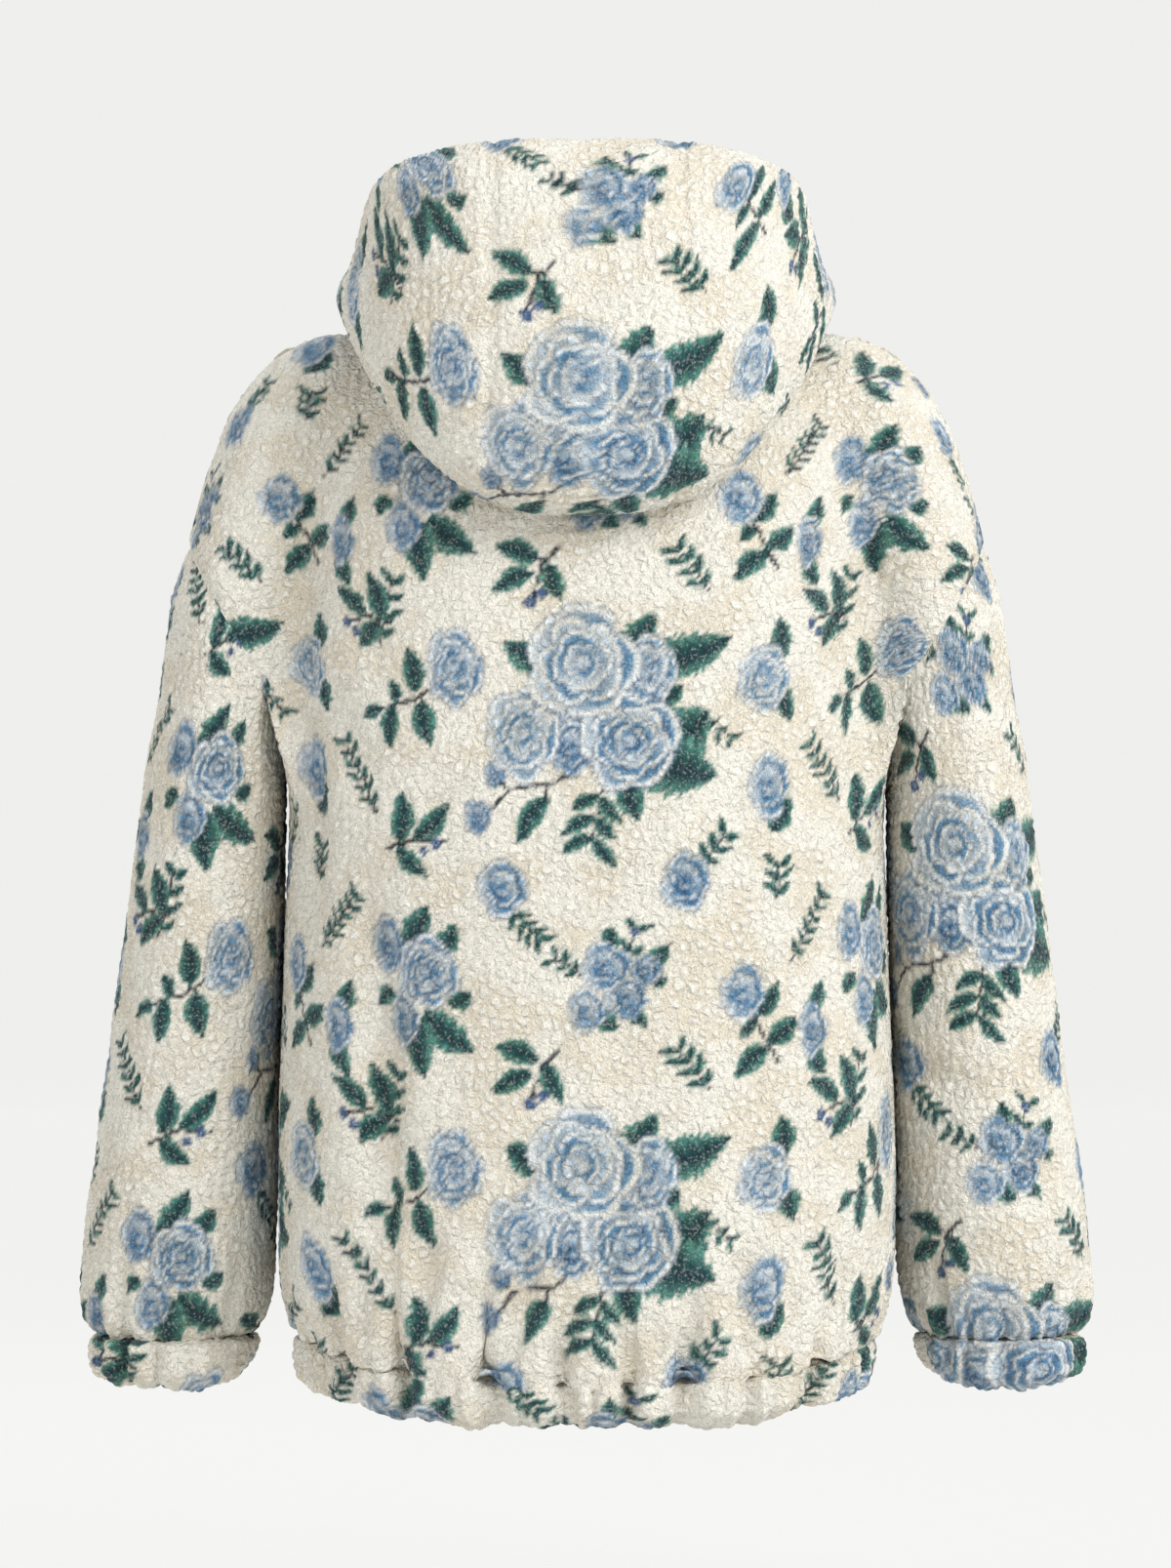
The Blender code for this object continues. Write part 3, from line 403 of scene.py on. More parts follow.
# the wearer's right sleeve from the cuff seam up, its columns from under the arm round the back
def sleeveGrid():
    count = jacket["armholeSteps"] * fineness["armhole"]
    turn = np.linspace(0, 2 * math.pi, 2 * count + 1)
    middle = (jacket["underarmZ"] + jacket["armholeTopZ"]) / 2
    top = jacket["armholeTopZ"] - middle
    first, last = jacket["sleeveFoot"], jacket["sleeveTop"]
    tiltFrom = fineness["tiltFrom"]
    levels = np.linspace(first, last, int((last - first) / fineness["sleeveRowGap"]))
    rows = [sleeveRing(z, top * smoothStep((z - tiltFrom) / (middle - tiltFrom)), turn) for z in levels]
    steps = np.linspace(0, jacket["armholeSteps"], count + 1)
    seam = np.concatenate([armhole(steps, "back"), armhole(steps, "front")[-2::-1]])
    gap = int(np.nanmax(np.linalg.norm(seam - rows[-1], axis=1)) / fineness["sleeveRowGap"])
    for share in np.linspace(0, 1, gap + 1)[1:]:
        rows.append(rows[len(levels) - 1] * (1 - share) + seam * share)
    return np.array(rows)


# moves points of the hood that would lie in the body, or right on it, out of it
def keepOffBody(points):
    moved = points.copy()
    x = np.abs(points[..., 0])
    edge = shoulder("z", x)
    for side, sign in facing.items():
        for _ in range(hoodShape["offSteps"]):
            rise = np.maximum(moved[..., 2] - edge + jacket["shoulderRound"], 0)
            away = unit(np.stack([moved[..., 1], rise], axis=-1))
            y, z = np.moveaxis(moved[..., 1:] - hoodShape["clear"] * away, -1, 0)
            near = (z < edge) & (y * sign >= 0)
            inside = near & (y * sign < depthAt(x, np.minimum(z, edge), side))
            if not inside.any():
                break
            moved[..., 1:] += np.where(inside[..., None], hoodShape["offStep"] * away, 0)
    return moved


hoodShape = {
    "clear": 0.0026,  # the hood's underside lies this far off the back and shoulders
    "offStep": 0.0005,
    "offSteps": 60,
    "drop": 1.5,  # how fast the lower fold rises from the back to the sides
    "frontLoss": 0.15,  # how much of its size the hood loses towards the zip
    "lossFrom": 1.6,  # the turn from the back's middle where that begins
    "seamColumns": 24,  # from the middle of the back to the seam
    "rows": 150,
    "rimRows": 8,  # by the turned-in rim, which the reverse leaves out
}


# half of the hood's outer side, a column for each station from the back's middle to the zip
def hoodGrid(neck):
    turn = np.linspace(0, math.pi, len(neck))
    lossFrom = hoodShape["lossFrom"]
    loss = 1 - hoodShape["frontLoss"] * smoothStep((turn - lossFrom) / (math.pi - lossFrom))
    rows = []
    for along in np.linspace(0, 1, hoodShape["rows"] + 1):
        square = hood("square", along)
        isBack = turn <= math.pi / 2
        cosine = np.abs(np.cos(turn))
        x = hood("halfWidth", along) * np.sin(turn).clip(0, 1) ** (2 / square)
        y = np.where(isBack, -hood("back", along), hood("front", along)) * cosine ** (2 / square)
        endZ = np.where(isBack, hood("zBack", along), hood("zFront", along))
        sideZ = hood("zSide", along)
        z = sideZ + (endZ - sideZ) * cosine ** hoodShape["drop"]
        level = np.stack([x, y, z], axis=1)
        level = neck + (level - neck) * loss[:, None]
        level[:, 0] = np.maximum(level[:, 0], np.where(turn > math.pi / 2, jacket["zipHalfGap"], 0))
        rows.append(level)
    rows[0] = neck.copy()
    rows = np.array(rows)
    rows[1:] = keepOffBody(rows[1:])
    return rows


def withBetween(line, count):
    shares = np.linspace(0, len(line) - 1, (len(line) - 1) * count + 1)
    return np.stack([np.interp(shares, np.arange(len(line)), line[:, k]) for k in range(3)], axis=1)


# outward directions of a whole grid
def facings(grid):
    return unit(np.cross(np.gradient(grid, axis=1), np.gradient(grid, axis=0)))


def arcs(grid, axis):
    steps = np.linalg.norm(np.nan_to_num(np.diff(grid, axis=axis)), axis=-1)
    total = np.cumsum(steps, axis=axis)
    start = np.zeros_like(np.take(total, [0], axis=axis))
    return np.concatenate([start, total], axis=axis)


# where each point lies on the flat cloth: across from a column, and up from a row's own height
def clothPlaces(grid, zeroColumn, zeroRow, zeroHeight):
    across = arcs(grid, 1)
    up = arcs(grid, 0)
    across = across - across[:, [zeroColumn]]
    up = up - up[[zeroRow]] + zeroHeight
    return np.stack([across, up], axis=-1)


turnedIn = {
    "hoodWide": 0.018,
    "zipWide": 0.010,
    "hoodSteps": 6,  # round the edge
    "zipSteps": 5,
    "zipThin": 0.8,  # the edge beside the zip is thinner than the cloth, and flatter
    "zipFlat": 0.35,
}


# adds the turned-in hem past the last row of a grid: round the edge and back down the inside
def turnedHem(grid, places, wide):
    thick = jacket["cloth"]
    out = facings(grid)[-1]
    ahead = unit(grid[-1] - grid[-2])
    rows, spots = [], []
    for turn in np.linspace(0, math.pi, turnedIn["hoodSteps"])[1:]:
        middle = grid[-1] - out * thick / 2
        rows.append(middle + thick / 2 * (math.cos(turn) * out + math.sin(turn) * ahead))
        spots.append(places[-1] + np.array([0, 1]) * turn * thick / 2)
    step = np.linalg.norm(grid[-1] - grid[-2], axis=-1).mean()
    back = facings(grid)
    for k in range(2, 2 + max(2, int(wide / step))):
        rows.append(grid[-k] - back[-k] * thick)
        spots.append(spots[-1] + np.array([0, step]))
    return np.concatenate([grid, rows]), np.concatenate([places, spots])


# the same past the last column, or before the first one
def turnedColumns(grid, places, wide, last):
    if not last:
        grid, places = grid[:, ::-1], places[:, ::-1]
    made, spots = [], []
    thick = jacket["cloth"] * turnedIn["zipThin"]
    out = facings(grid) * (1 if last else -1)
    ahead = unit(grid[:, -1] - grid[:, -2])
    for turn in np.linspace(0, math.pi, turnedIn["zipSteps"])[1:]:
        middle = grid[:, -1] - out[:, -1] * thick / 2
        forward = turnedIn["zipFlat"] * math.sin(turn) * ahead
        made.append(middle + thick / 2 * (math.cos(turn) * out[:, -1] + forward))
        spots.append(places[:, -1])
    step = np.linalg.norm(grid[:, -1] - grid[:, -2], axis=-1).mean()
    for k in range(2, 2 + int(wide / step)):
        made.append(grid[:, -k] - out[:, -k] * thick)
        spots.append(places[:, -k])
    grid = np.concatenate([grid, np.stack(made, axis=1)], axis=1)
    places = np.concatenate([places, np.stack(spots, axis=1)], axis=1)
    if not last:
        grid, places = grid[:, ::-1], places[:, ::-1]
    return grid, places


def closeMesh(bm, mesh):
    bm.to_mesh(mesh)
    bm.free()
    return mesh


# a mesh with one point for each place of a grid that is there, and those places' numbers
def gridMesh(name, there):
    rows, columns = there.shape
    bm = bmesh.new()
    bmesh.ops.create_grid(bm, x_segments=columns - 1, y_segments=rows - 1, size=1)
    placeLayer = bm.verts.layers.int.new("place")
    gone = []
    for vert in bm.verts:
        i = round((vert.co.y + 1) / 2 * (rows - 1))
        j = round((vert.co.x + 1) / 2 * (columns - 1))
        vert[placeLayer] = i * columns + j
        if not there[i, j]:
            gone.append(vert)
    bmesh.ops.delete(bm, geom=gone, context="VERTS")
    mesh = closeMesh(bm, bpy.data.meshes.new(name))
    place = np.zeros(len(mesh.vertices), np.int32)
    mesh.attributes["place"].data.foreach_get("value", place)
    mesh.attributes.remove(mesh.attributes["place"])
    return mesh, place


def setPoints(mesh, points):
    mesh.vertices.foreach_set("co", np.ascontiguousarray(points, np.float32).ravel())
    mesh.update()


def pointNormals(mesh):
    normals = np.zeros(len(mesh.vertices) * 3, np.float32)
    mesh.vertices.foreach_get("normal", normals)
    return normals.reshape(-1, 3).astype(float)


def linked(name, data):
    obj = bpy.data.objects.new(name, data)
    bpy.context.scene.collection.objects.link(obj)
    return obj


def addObject(name, mesh, material, replaced=()):
    mesh.shade_smooth()
    mesh.materials.append(material)
    obj = linked(name, mesh)
    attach(obj, "jacket")
    if replaced:
        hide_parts(*replaced)
    return obj


# the pile's clumps: for each place the nearest and the next jittered point, in units of a clump
clumpCells = 64
clumpTable = np.random.default_rng(7).random((clumpCells, clumpCells, 3))


def clumps(places, size):
    at = places / size
    cell = np.floor(at).astype(int)
    nearest = np.full(len(at), 9.0)
    second = np.full(len(at), 9.0)
    own = np.zeros(len(at))
    for down in (-1, 0, 1):
        for along in (-1, 0, 1):
            spot = cell + (along, down)
            values = clumpTable[spot[:, 0] % clumpCells, spot[:, 1] % clumpCells]
            gap = np.linalg.norm(spot + 0.1 + 0.8 * values[:, :2] - at, axis=1)
            closer = gap < nearest
            second = np.where(closer, nearest, np.minimum(second, gap))
            own = np.where(closer, values[:, 2], own)
            nearest = np.where(closer, gap, nearest)
    return nearest, second, own


# soft unevenness, smooth between the points of a coarse lattice
def unevenness(places, size, layer):
    at = places / size
    cell = np.floor(at).astype(int)
    share = smoothStep(at - cell)
    total = np.zeros(len(at))
    for down in (0, 1):
        for along in (0, 1):
            spot = cell + (along, down)
            value = clumpTable[spot[:, 0] % clumpCells, spot[:, 1] % clumpCells, layer]
            weightX = share[:, 0] if along else 1 - share[:, 0]
            weightY = share[:, 1] if down else 1 - share[:, 1]
            total += value * weightX * weightY
    return total - 0.5


print("form ready")


# a colour given as seen on screen, in the linear values that the shaders take
def tone(red, green, blue):
    seen = np.array([red, green, blue]) / 255
    return np.where(seen <= 0.04045, seen / 12.92, ((seen + 0.055) / 1.055) ** 2.4)


# the rose print, charted in small units of the cloth, right and down from the middle of the back
printLook = {
    "unitsPerMetre": 2741.5,
    "repeat": (891, 890),  # across and down
    "soft": 5.0,  # how far an edge runs into the pile
    "shake": 4.5,  # how far a tuft carries its colour
    "tuft": 0.0042,
    "drift": 0.004,
    "ground": tone(235, 232, 221),
    "petalPale": tone(229, 233, 232),
    "petalBlue": tone(99, 144, 178),
    "petalDeep": tone(40, 84, 122),
    "leafDark": tone(16, 46, 58),
    "leafMid": tone(40, 102, 96),
    "leafEdge": tone(104, 166, 150),
    "stem": tone(34, 40, 52),
    "berry": tone(66, 88, 128),
}

roseLayers = [  # size, petals and start of each ring of petals, from the outside in
    (1.00, 5, 0.2),
    (0.76, 5, 0.9),
    (0.53, 4, 0.1),
    (0.32, 3, 1.1),
    (0.14, 2, 0.4),
]
smallRoseLayers = [(1.00, 4, 0.3), (0.64, 3, 1.0), (0.27, 2, 0.2)]
roseLook = {
    "growth": 1.07,
    "fullFrom": 52,  # a smaller rose has fewer rings of petals
    "scallop": 0.18,
    "blue": 0.72,
    "blueFrom": 0.34,  # of a petal's width, from its rim inwards
    "turnedAway": 0.30,  # what is left of the blue on the side away from the light
    "deep": 0.9,
    "outline": 0.32,
    "bluerOutline": 0.34,
}

roses = [  # x, y, size, height to width, turn and how blue
    (110, 940, 34, 1.45, 0.2, 0.75),
    (145, 1066, 31, 1.50, 1.2, 0.65),
    (190, 978, 58, 1.08, 0.7, 0.85),
    (550, 1012, 36, 1.00, 1.4, 0.90),
    (584, 962, 28, 1.00, 0.2, 0.90),
    (480, 1034, 34, 1.12, 0.8, 0.50),
    (514, 956, 42, 1.00, 2.0, 0.80),
    (242, 432, 50, 1.36, 0.3, 0.70),
    (760, 1012, 42, 1.14, 0.5, 0.60),
    (800, 456, 50, 1.18, 0.1, 0.42),
    (812, 652, 39, 1.50, 1.7, 0.60),
    (655, 810, 42, 1.20, 2.4, 0.95),
    (330, 820, 43, 1.14, 0.9, 0.70),
    (10, 1096, 30, 1.55, 0.4, 0.70),
    (318, 616, 18, 1.20, 0.4, 0.80),
    (288, 694, 23, 1.25, 2.4, 0.80),
    (500, 500, 74, 0.80, 1.8, 0.85),
    (410, 520, 50, 1.30, 2.6, 0.45),
    (452, 570, 42, 1.10, 0.5, 0.95),
    (588, 436, 50, 1.30, 1.1, 0.60),
    (364, 546, 64, 1.26, 0.3, 0.45),
    (552, 560, 86, 0.98, 2.2, 0.85),
    (466, 420, 96, 1.02, 0.9, 0.42),
]

leaves = [  # foot, tip, width and teeth
    (395, 430, 338, 378, 46, 0),
    (548, 395, 606, 326, 60, 5),
    (592, 412, 742, 372, 74, 11),
    (612, 484, 652, 458, 32, 0),
    (570, 590, 704, 500, 116, 6),
    (572, 560, 716, 622, 112, 6),
    (556, 606, 574, 698, 46, 0),
    (413, 652, 362, 736, 36, 0),
    (150, 930, 200, 852, 48, 3),
    (215, 935, 250, 884, 42, 3),
    (120, 1010, 92, 1044, 30, 0),
    (235, 1030, 278, 1002, 34, 3),
    (192, 1045, 286, 1108, 60, 5),
    (182, 1050, 190, 1164, 50, 0),
    (520, 930, 524, 880, 28, 0),
    (590, 950, 632, 914, 32, 3),
    (505, 1035, 540, 1064, 32, 0),
    (560, 1020, 590, 1062, 28, 0),
    (600, 985, 628, 975, 22, 0),
    (172, 478, 158, 392, 36, 0),
    (186, 488, 206, 574, 40, 0),
    (138, 500, 120, 454, 24, 0),
    (132, 504, 126, 586, 32, 0),
    (108, 508, 66, 536, 24, 0),
    (790, 1056, 832, 996, 34, 0),
    (790, 1062, 762, 1092, 24, 0),
    (812, 1102, 870, 1064, 38, 0),
    (814, 1108, 748, 1162, 38, 0),
    (836, 420, 836, 342, 42, 0),
    (846, 470, 860, 536, 40, 0),
    (815, 735, 858, 672, 38, 0),
    (14, 1066, 40, 1008, 34, 0),
    (6, 1120, 38, 1180, 36, 0),
    (398, 1122, 318, 1096, 38, 0),
    (388, 1142, 314, 1182, 34, 0),
    (414, 1126, 440, 1196, 34, 0),
    (142, 752, 150, 656, 38, 0),
    (172, 742, 238, 668, 34, 0),
    (140, 760, 198, 806, 34, 0),
    (108, 348, 74, 258, 38, 0),
    (70, 342, 0, 292, 34, 0),
    (104, 352, 54, 406, 36, 0),
    (325, 640, 312, 612, 20, 0),
    (304, 690, 276, 708, 22, 0),
]

stems = [
    [(560, 572), (470, 600), (425, 628), (345, 642), (308, 684)],
    [(345, 642), (322, 622)],
    [(413, 630), (410, 662)],
    [(196, 470), (168, 492), (76, 520)],
    [(782, 1040), (800, 1080), (832, 1142)],
    [(434, 1100), (405, 1128), (384, 1196)],
    [(410, 1122), (352, 1112)],
    [(122, 766), (170, 742), (232, 742)],
    [(130, 356), (80, 342), (26, 356)],
]

berries = [  # x, y and size
    (384, 1198, 12),
    (404, 1182, 10),
    (214, 744, 11),
    (190, 762, 9),
    (26, 358, 11),
    (46, 374, 10),
    (568, 893, 9),
]

sprigs = [  # foot, tip, pairs of leaves, their length and width
    (508, 640, 492, 730, 3, 58, 32),
    (472, 966, 424, 940, 3, 26, 14),
    (556, 935, 570, 886, 2, 32, 16),
    (686, 776, 728, 728, 3, 32, 18),
    (346, 858, 402, 908, 4, 29, 16),
    (856, 966, 940, 856, 6, 27, 14),
    (98, 706, 16, 580, 6, 29, 15),
    (700, 1176, 642, 1102, 4, 34, 18),
    (826, 850, 830, 792, 3, 34, 17),
    (100, 1282, 128, 1160, 4, 34, 20),
    (690, 520, 742, 556, 3, 22, 12),
]


def lay(rgb, cover, colour):
    rgb += (colour - rgb) * cover[:, None]


def mixed(first, second, share):
    return first + (second - first) * np.clip(share, 0, 1)[:, None]


def drawRose(at, rgb, x, y, size, tall, start, blue):
    look = roseLook
    pale, mid, deep = [printLook[name] for name in ("petalPale", "petalBlue", "petalDeep")]
    soft = printLook["soft"]
    size = size * look["growth"]
    across = at[:, 0] - x
    down = (at[:, 1] - y) / tall
    turn = np.arctan2(down, across) + start
    wave = 0.04 * np.sin(3 * turn + x) + 0.03 * np.sin(7 * turn + y)
    out = np.hypot(across - 0.08 * size, down + 0.06 * size) / size * (1 + wave)
    for k, (ring, petals, begin) in enumerate(roseLayers if size > look["fullFrom"] else smallRoseLayers):
        swing = np.abs(np.cos(petals / 2 * (turn - begin - 0.7 * start)))
        rim = ring * (1 - look["scallop"] * (1 - swing**0.5))
        cover = smoothStep((rim - out) * size / soft + 0.5)
        inside = np.clip((rim - out) / (0.23 * ring + 0.04), 0, 1)
        lit = 0.5 + 0.5 * np.cos(turn - start - 2.2 * k)
        share = (look["blue"] + blue) * smoothStep((inside - look["blueFrom"]) / 0.26)
        share = share * (look["turnedAway"] + (1 - look["turnedAway"]) * lit)
        darker = look["deep"] * blue * (smoothStep((inside - 0.60) / 0.40) * lit + 0.5 * (1 - swing) ** 3)
        lay(rgb, cover, mixed(mixed(pale, mid, share), deep, darker))
        line = bell((rim - out) * size, 0.5 * soft)
        lay(rgb, (look["outline"] + look["bluerOutline"] * blue) * line, deep)


def drawLeaf(at, rgb, x, y, tipX, tipY, wide, teeth=0):
    look = printLook
    axis = np.array([tipX - x, tipY - y], float)
    length = np.hypot(*axis)
    gap = at - (x, y)
    along = gap @ axis / length**2
    side = (gap[:, 0] * axis[1] - gap[:, 1] * axis[0]) / length
    side = side + 0.06 * length * np.sin(math.pi * along)
    inside = np.clip(along, 0, 1)
    half = wide * 0.6 * np.sin(math.pi * inside**0.8) ** 0.85
    if teeth:
        half = half * (1 - 0.26 * (inside * teeth % 1))
    half = np.where((along > 0) & (along < 1), half, -4)
    cover = smoothStep((half - np.abs(side)) / (0.8 * look["soft"]) + 0.5)
    rim = np.abs(side) / np.maximum(half, 1)
    veins = 0.5 + 0.5 * np.sin(inside * length / 3.6 + 3 * rim)
    shade = mixed(look["leafDark"], look["leafMid"], rim * 0.75 + 0.40 * veins * (side > 0))
    lay(rgb, cover, mixed(shade, look["leafEdge"], np.clip(rim - 0.38, 0, 1) * (0.5 + 0.9 * veins)))


def drawStem(at, rgb, points, wide=3.4):
    nearest = np.full(len(at), 99.0)
    for start, end in zip(points[:-1], points[1:]):
        start = np.array(start, float)
        axis = np.array(end, float) - start
        share = np.clip((at - start) @ axis / (axis @ axis), 0, 1)
        nearest = np.minimum(nearest, np.linalg.norm(at - start - share[:, None] * axis, axis=1))
    lay(rgb, smoothStep((wide - nearest) / 3 + 0.5), printLook["stem"])


def drawBerry(at, rgb, x, y, size):
    out = np.hypot(at[:, 0] - x, at[:, 1] - y)
    lay(rgb, smoothStep((size - out) / 3 + 0.5), printLook["berry"])
    lay(rgb, 0.6 * smoothStep((size * 0.5 - out) / 3), printLook["petalBlue"])


sprigLook = {
    "stem": 2.8,
    "bow": 3,
    "spread": 0.98,  # how far its leaves reach sideways and forwards, in their length
    "ahead": 0.80,
    "slim": 0.76,
}


# a stem with a leaf on either side at each step
def drawSprig(at, rgb, x, y, tipX, tipY, pairs, long, wide):
    look = sprigLook
    bend = ((x + tipX) / 2 + look["bow"], (y + tipY) / 2 - look["bow"])
    drawStem(at, rgb, [(x, y), bend, (tipX, tipY)], look["stem"])
    axis = np.array([tipX - x, tipY - y], float)
    axis /= np.hypot(*axis)
    square = np.array([axis[1], -axis[0]])
    for k in range(pairs):
        share = 0.12 + 0.80 * k / max(1, pairs - 1)
        foot = np.array([x + (tipX - x) * share, y + (tipY - y) * share])
        for way in (-1, 1):
            ahead = look["spread"] * way * square + look["ahead"] * axis
            tip = foot + long * ahead * (1 - 0.10 * ((k + way) % 3))
            drawLeaf(at, rgb, *foot, *tip, look["slim"] * wide)


# each mark of the chart: its drawing, its middle, how far it reaches and its measures
def chartMarks():
    marks = []
    for points in stems:
        line = np.array(points, float)
        middle = (line.min(axis=0) + line.max(axis=0)) / 2
        marks.append((drawStem, middle, np.ptp(line, axis=0).max() / 2 + 8, (points,)))
    for row in sprigs:
        middle = ((row[0] + row[2]) / 2, (row[1] + row[3]) / 2)
        reach = max(abs(row[0] - row[2]), abs(row[1] - row[3])) / 2 + row[5] + 4
        marks.append((drawSprig, middle, reach, row))
    for row in leaves:
        middle = ((row[0] + row[2]) / 2, (row[1] + row[3]) / 2)
        reach = (math.hypot(row[0] - row[2], row[1] - row[3]) + row[4]) / 2 + 6
        marks.append((drawLeaf, middle, reach, row))
    marks += [(drawBerry, row[:2], row[2] + 4, row) for row in berries]
    marks += [(drawRose, row[:2], row[2] * max(1, row[3]) * 1.3 + 6, row) for row in roses]
    return marks


# the cloth's colour at places given in metres, with the chart moved so that a piece is cut where it was
def printColours(places, shift):
    look = printLook
    at = places * (look["unitsPerMetre"], -look["unitsPerMetre"]) + shift
    _, _, own = clumps(places, look["tuft"])
    at = at + look["shake"] * np.stack([own - 0.5, unevenness(places, look["drift"], 1)], axis=1)
    rgb = np.tile(look["ground"], (len(at), 1))
    for draw, middle, reach, measures in chartMarks():
        gap = at - middle
        gap -= np.round(gap / look["repeat"]) * look["repeat"]
        near = np.flatnonzero((np.abs(gap) < reach).all(axis=1))
        part = rgb[near]
        draw(gap[near] + middle, part, *measures)
        rgb[near] = part
    return rgb


# a socket that takes the usual signs, each adding its own node
class Wire:
    def __init__(self, finish, socket):
        self.finish = finish
        self.socket = socket

    def sum(self, operation, first, second):
        return self.finish.node("ShaderNodeMath", {"operation": operation}, {0: first, 1: second})

    def __add__(self, other):
        return self.sum("ADD", self, other)

    def __radd__(self, other):
        return self.sum("ADD", other, self)

    def __sub__(self, other):
        return self.sum("SUBTRACT", self, other)

    def __rsub__(self, other):
        return self.sum("SUBTRACT", other, self)

    def __mul__(self, other):
        return self.sum("MULTIPLY", self, other)

    def __rmul__(self, other):
        return self.sum("MULTIPLY", other, self)


class Finish:
    def __init__(self, name, sockets):
        self.material = bpy.data.materials.new(name)
        self.material.use_nodes = True
        self.tree = self.material.node_tree
        self.shader = self.tree.nodes["Principled BSDF"].inputs
        for socket, value in sockets.items():
            self.feed(self.shader[socket], value)

    def feed(self, socket, value):
        if isinstance(value, Wire):
            self.tree.links.new(value.socket, socket)
        else:
            socket.default_value = value

    def node(self, kind, settings, sockets, output=0):
        node = self.tree.nodes.new(kind)
        for name, value in settings.items():
            setattr(node, name, value)
        for key, value in sockets.items():
            self.feed(node.inputs[key], value)
        return Wire(self, node.outputs[output])

    def blend(self, share, first, second, kind="MIX"):
        settings = {"data_type": "RGBA", "blend_type": kind}
        return self.node("ShaderNodeMix", settings, {0: share, 6: first, 7: second}, 2)

    # diagonal ribs, as a knit or a twill has
    def ribs(self, place, scale, distortion=0.0):
        sockets = {"Vector": place, "Scale": scale, "Distortion": distortion}
        return self.node("ShaderNodeTexWave", {"bands_direction": "DIAGONAL"}, sockets)

    def between(self, value, low, high):
        settings = {"interpolation_type": "SMOOTHSTEP"}
        return self.node("ShaderNodeMapRange", settings, {"Value": value, "From Min": low, "From Max": high})

    # object coordinates
    def spots(self):
        return self.node("ShaderNodeTexCoord", {}, {}, "Object")

    def vector(self, operation, first, second):
        return self.node("ShaderNodeVectorMath", {"operation": operation}, {0: first, 1: second})

    def noise(self, place, scale, detail=2.0):
        return self.node("ShaderNodeTexNoise", {}, {"Vector": place, "Scale": scale, "Detail": detail})

    def painted(self, colour):
        self.feed(self.shader["Base Color"], colour)

    def raised(self, height, strength, distance):
        sockets = {"Height": height, "Strength": strength, "Distance": distance}
        self.feed(self.shader["Normal"], self.node("ShaderNodeBump", {}, sockets))


def rgba(colour):
    return (*colour, 1.0)


pileLook = {
    "clumpScale": 140.0,
    "gapWidth": 0.36,
    "curlScale": 520.0,
    "speckScale": 950.0,
    "fleckScale": 500.0,
    "patchScale": 30.0,
    "wobbleScale": 210.0,
    "wobble": 0.0055,
    # the warm tan of the painted shade in the gaps between clumps
    "gap": rgba(tone(222, 206, 180)),
    "bumpStrength": 0.80,
    "bumpDistance": 0.0026,
}


# curly sherpa pile: soft clumps, with warm painted shade in the gaps between them and painted highlight and
# shade on the curls
def sherpaFinish():
    look = pileLook
    sheen = {"Sheen Weight": 0.12, "Sheen Roughness": 0.6}
    finish = Finish("sherpaPile", {"Roughness": 0.95, "Specular IOR Level": 0.10, **sheen})
    spot = finish.spots()
    sockets = {"Vector": spot, "Scale": look["wobbleScale"], "Detail": 2.0}
    shake = finish.node("ShaderNodeTexNoise", {}, sockets, "Color")
    shake = finish.vector("SUBTRACT", shake, (0.5, 0.5, 0.5))
    shake = finish.node("ShaderNodeVectorMath", {"operation": "SCALE"}, {0: shake, "Scale": look["wobble"]})
    moved = finish.vector("ADD", spot, shake)
    sockets = {"Vector": moved, "Scale": look["clumpScale"]}
    edge = finish.node("ShaderNodeTexVoronoi", {"feature": "DISTANCE_TO_EDGE"}, sockets)
    tuft = finish.between(edge, 0.0, look["gapWidth"])
    curl = finish.noise(moved, look["curlScale"], 3.0)
    patch = finish.noise(spot, look["patchScale"], 1.0)
    dyed = finish.node("ShaderNodeAttribute", {"attribute_name": "print"}, {}, "Color")
    # painted shade: the gaps between clumps are darkened towards warm tan, deeper in random patches
    gap = (1 - tuft) * (finish.between(patch, 0.36, 0.66) * 0.44 + 0.08)
    colour = finish.blend(gap, dyed, finish.blend(1.0, dyed, look["gap"], "MULTIPLY"))
    speck = finish.between(finish.noise(spot, look["speckScale"]), 0.34, 0.66)
    fleck = finish.between(finish.noise(spot, look["fleckScale"], 1.0), 0.50, 0.72) * 0.22
    colour = finish.blend(fleck, colour, rgba(printLook["ground"]))
    # painted highlight and shade on the curls and fine specks, multiplied over the colour
    light = curl * 0.34 + speck * 0.26 + 0.73
    grey = finish.node("ShaderNodeCombineColor", {}, {0: light, 1: light, 2: light})
    finish.painted(finish.blend(1.0, colour, grey, "MULTIPLY"))
    finish.raised(tuft * 1.0 + curl * 0.8 + speck * 0.22, look["bumpStrength"], look["bumpDistance"])
    return finish.material


knitLook = {
    "ribScale": 260.0,
    "fuzzScale": 300.0,
    "distortion": 1.5,
    "light": rgba(tone(238, 229, 212)),
    "dark": rgba(tone(206, 193, 170)),
    "bumpDistance": 0.0006,
}


# the reverse: a fine jersey with slanting ribs
def knitFinish():
    look = knitLook
    finish = Finish("knitReverse", {"Roughness": 0.9, "Sheen Weight": 0.15, "Specular IOR Level": 0.15})
    spot = finish.spots()
    fuzz = finish.noise(spot, look["fuzzScale"])
    rib = finish.ribs(spot, look["ribScale"], look["distortion"])
    finish.painted(finish.blend(rib * 0.5 + fuzz * 0.4, look["dark"], look["light"]))
    finish.raised(rib * 0.7 + fuzz * 0.5, 0.5, look["bumpDistance"])
    return finish.material


tapeLook = {
    "twillScale": 620.0,
    "fuzzScale": 900.0,
    "light": rgba(tone(232, 224, 206)),
    "dark": rgba(tone(196, 184, 160)),
    "bumpDistance": 0.0003,
}


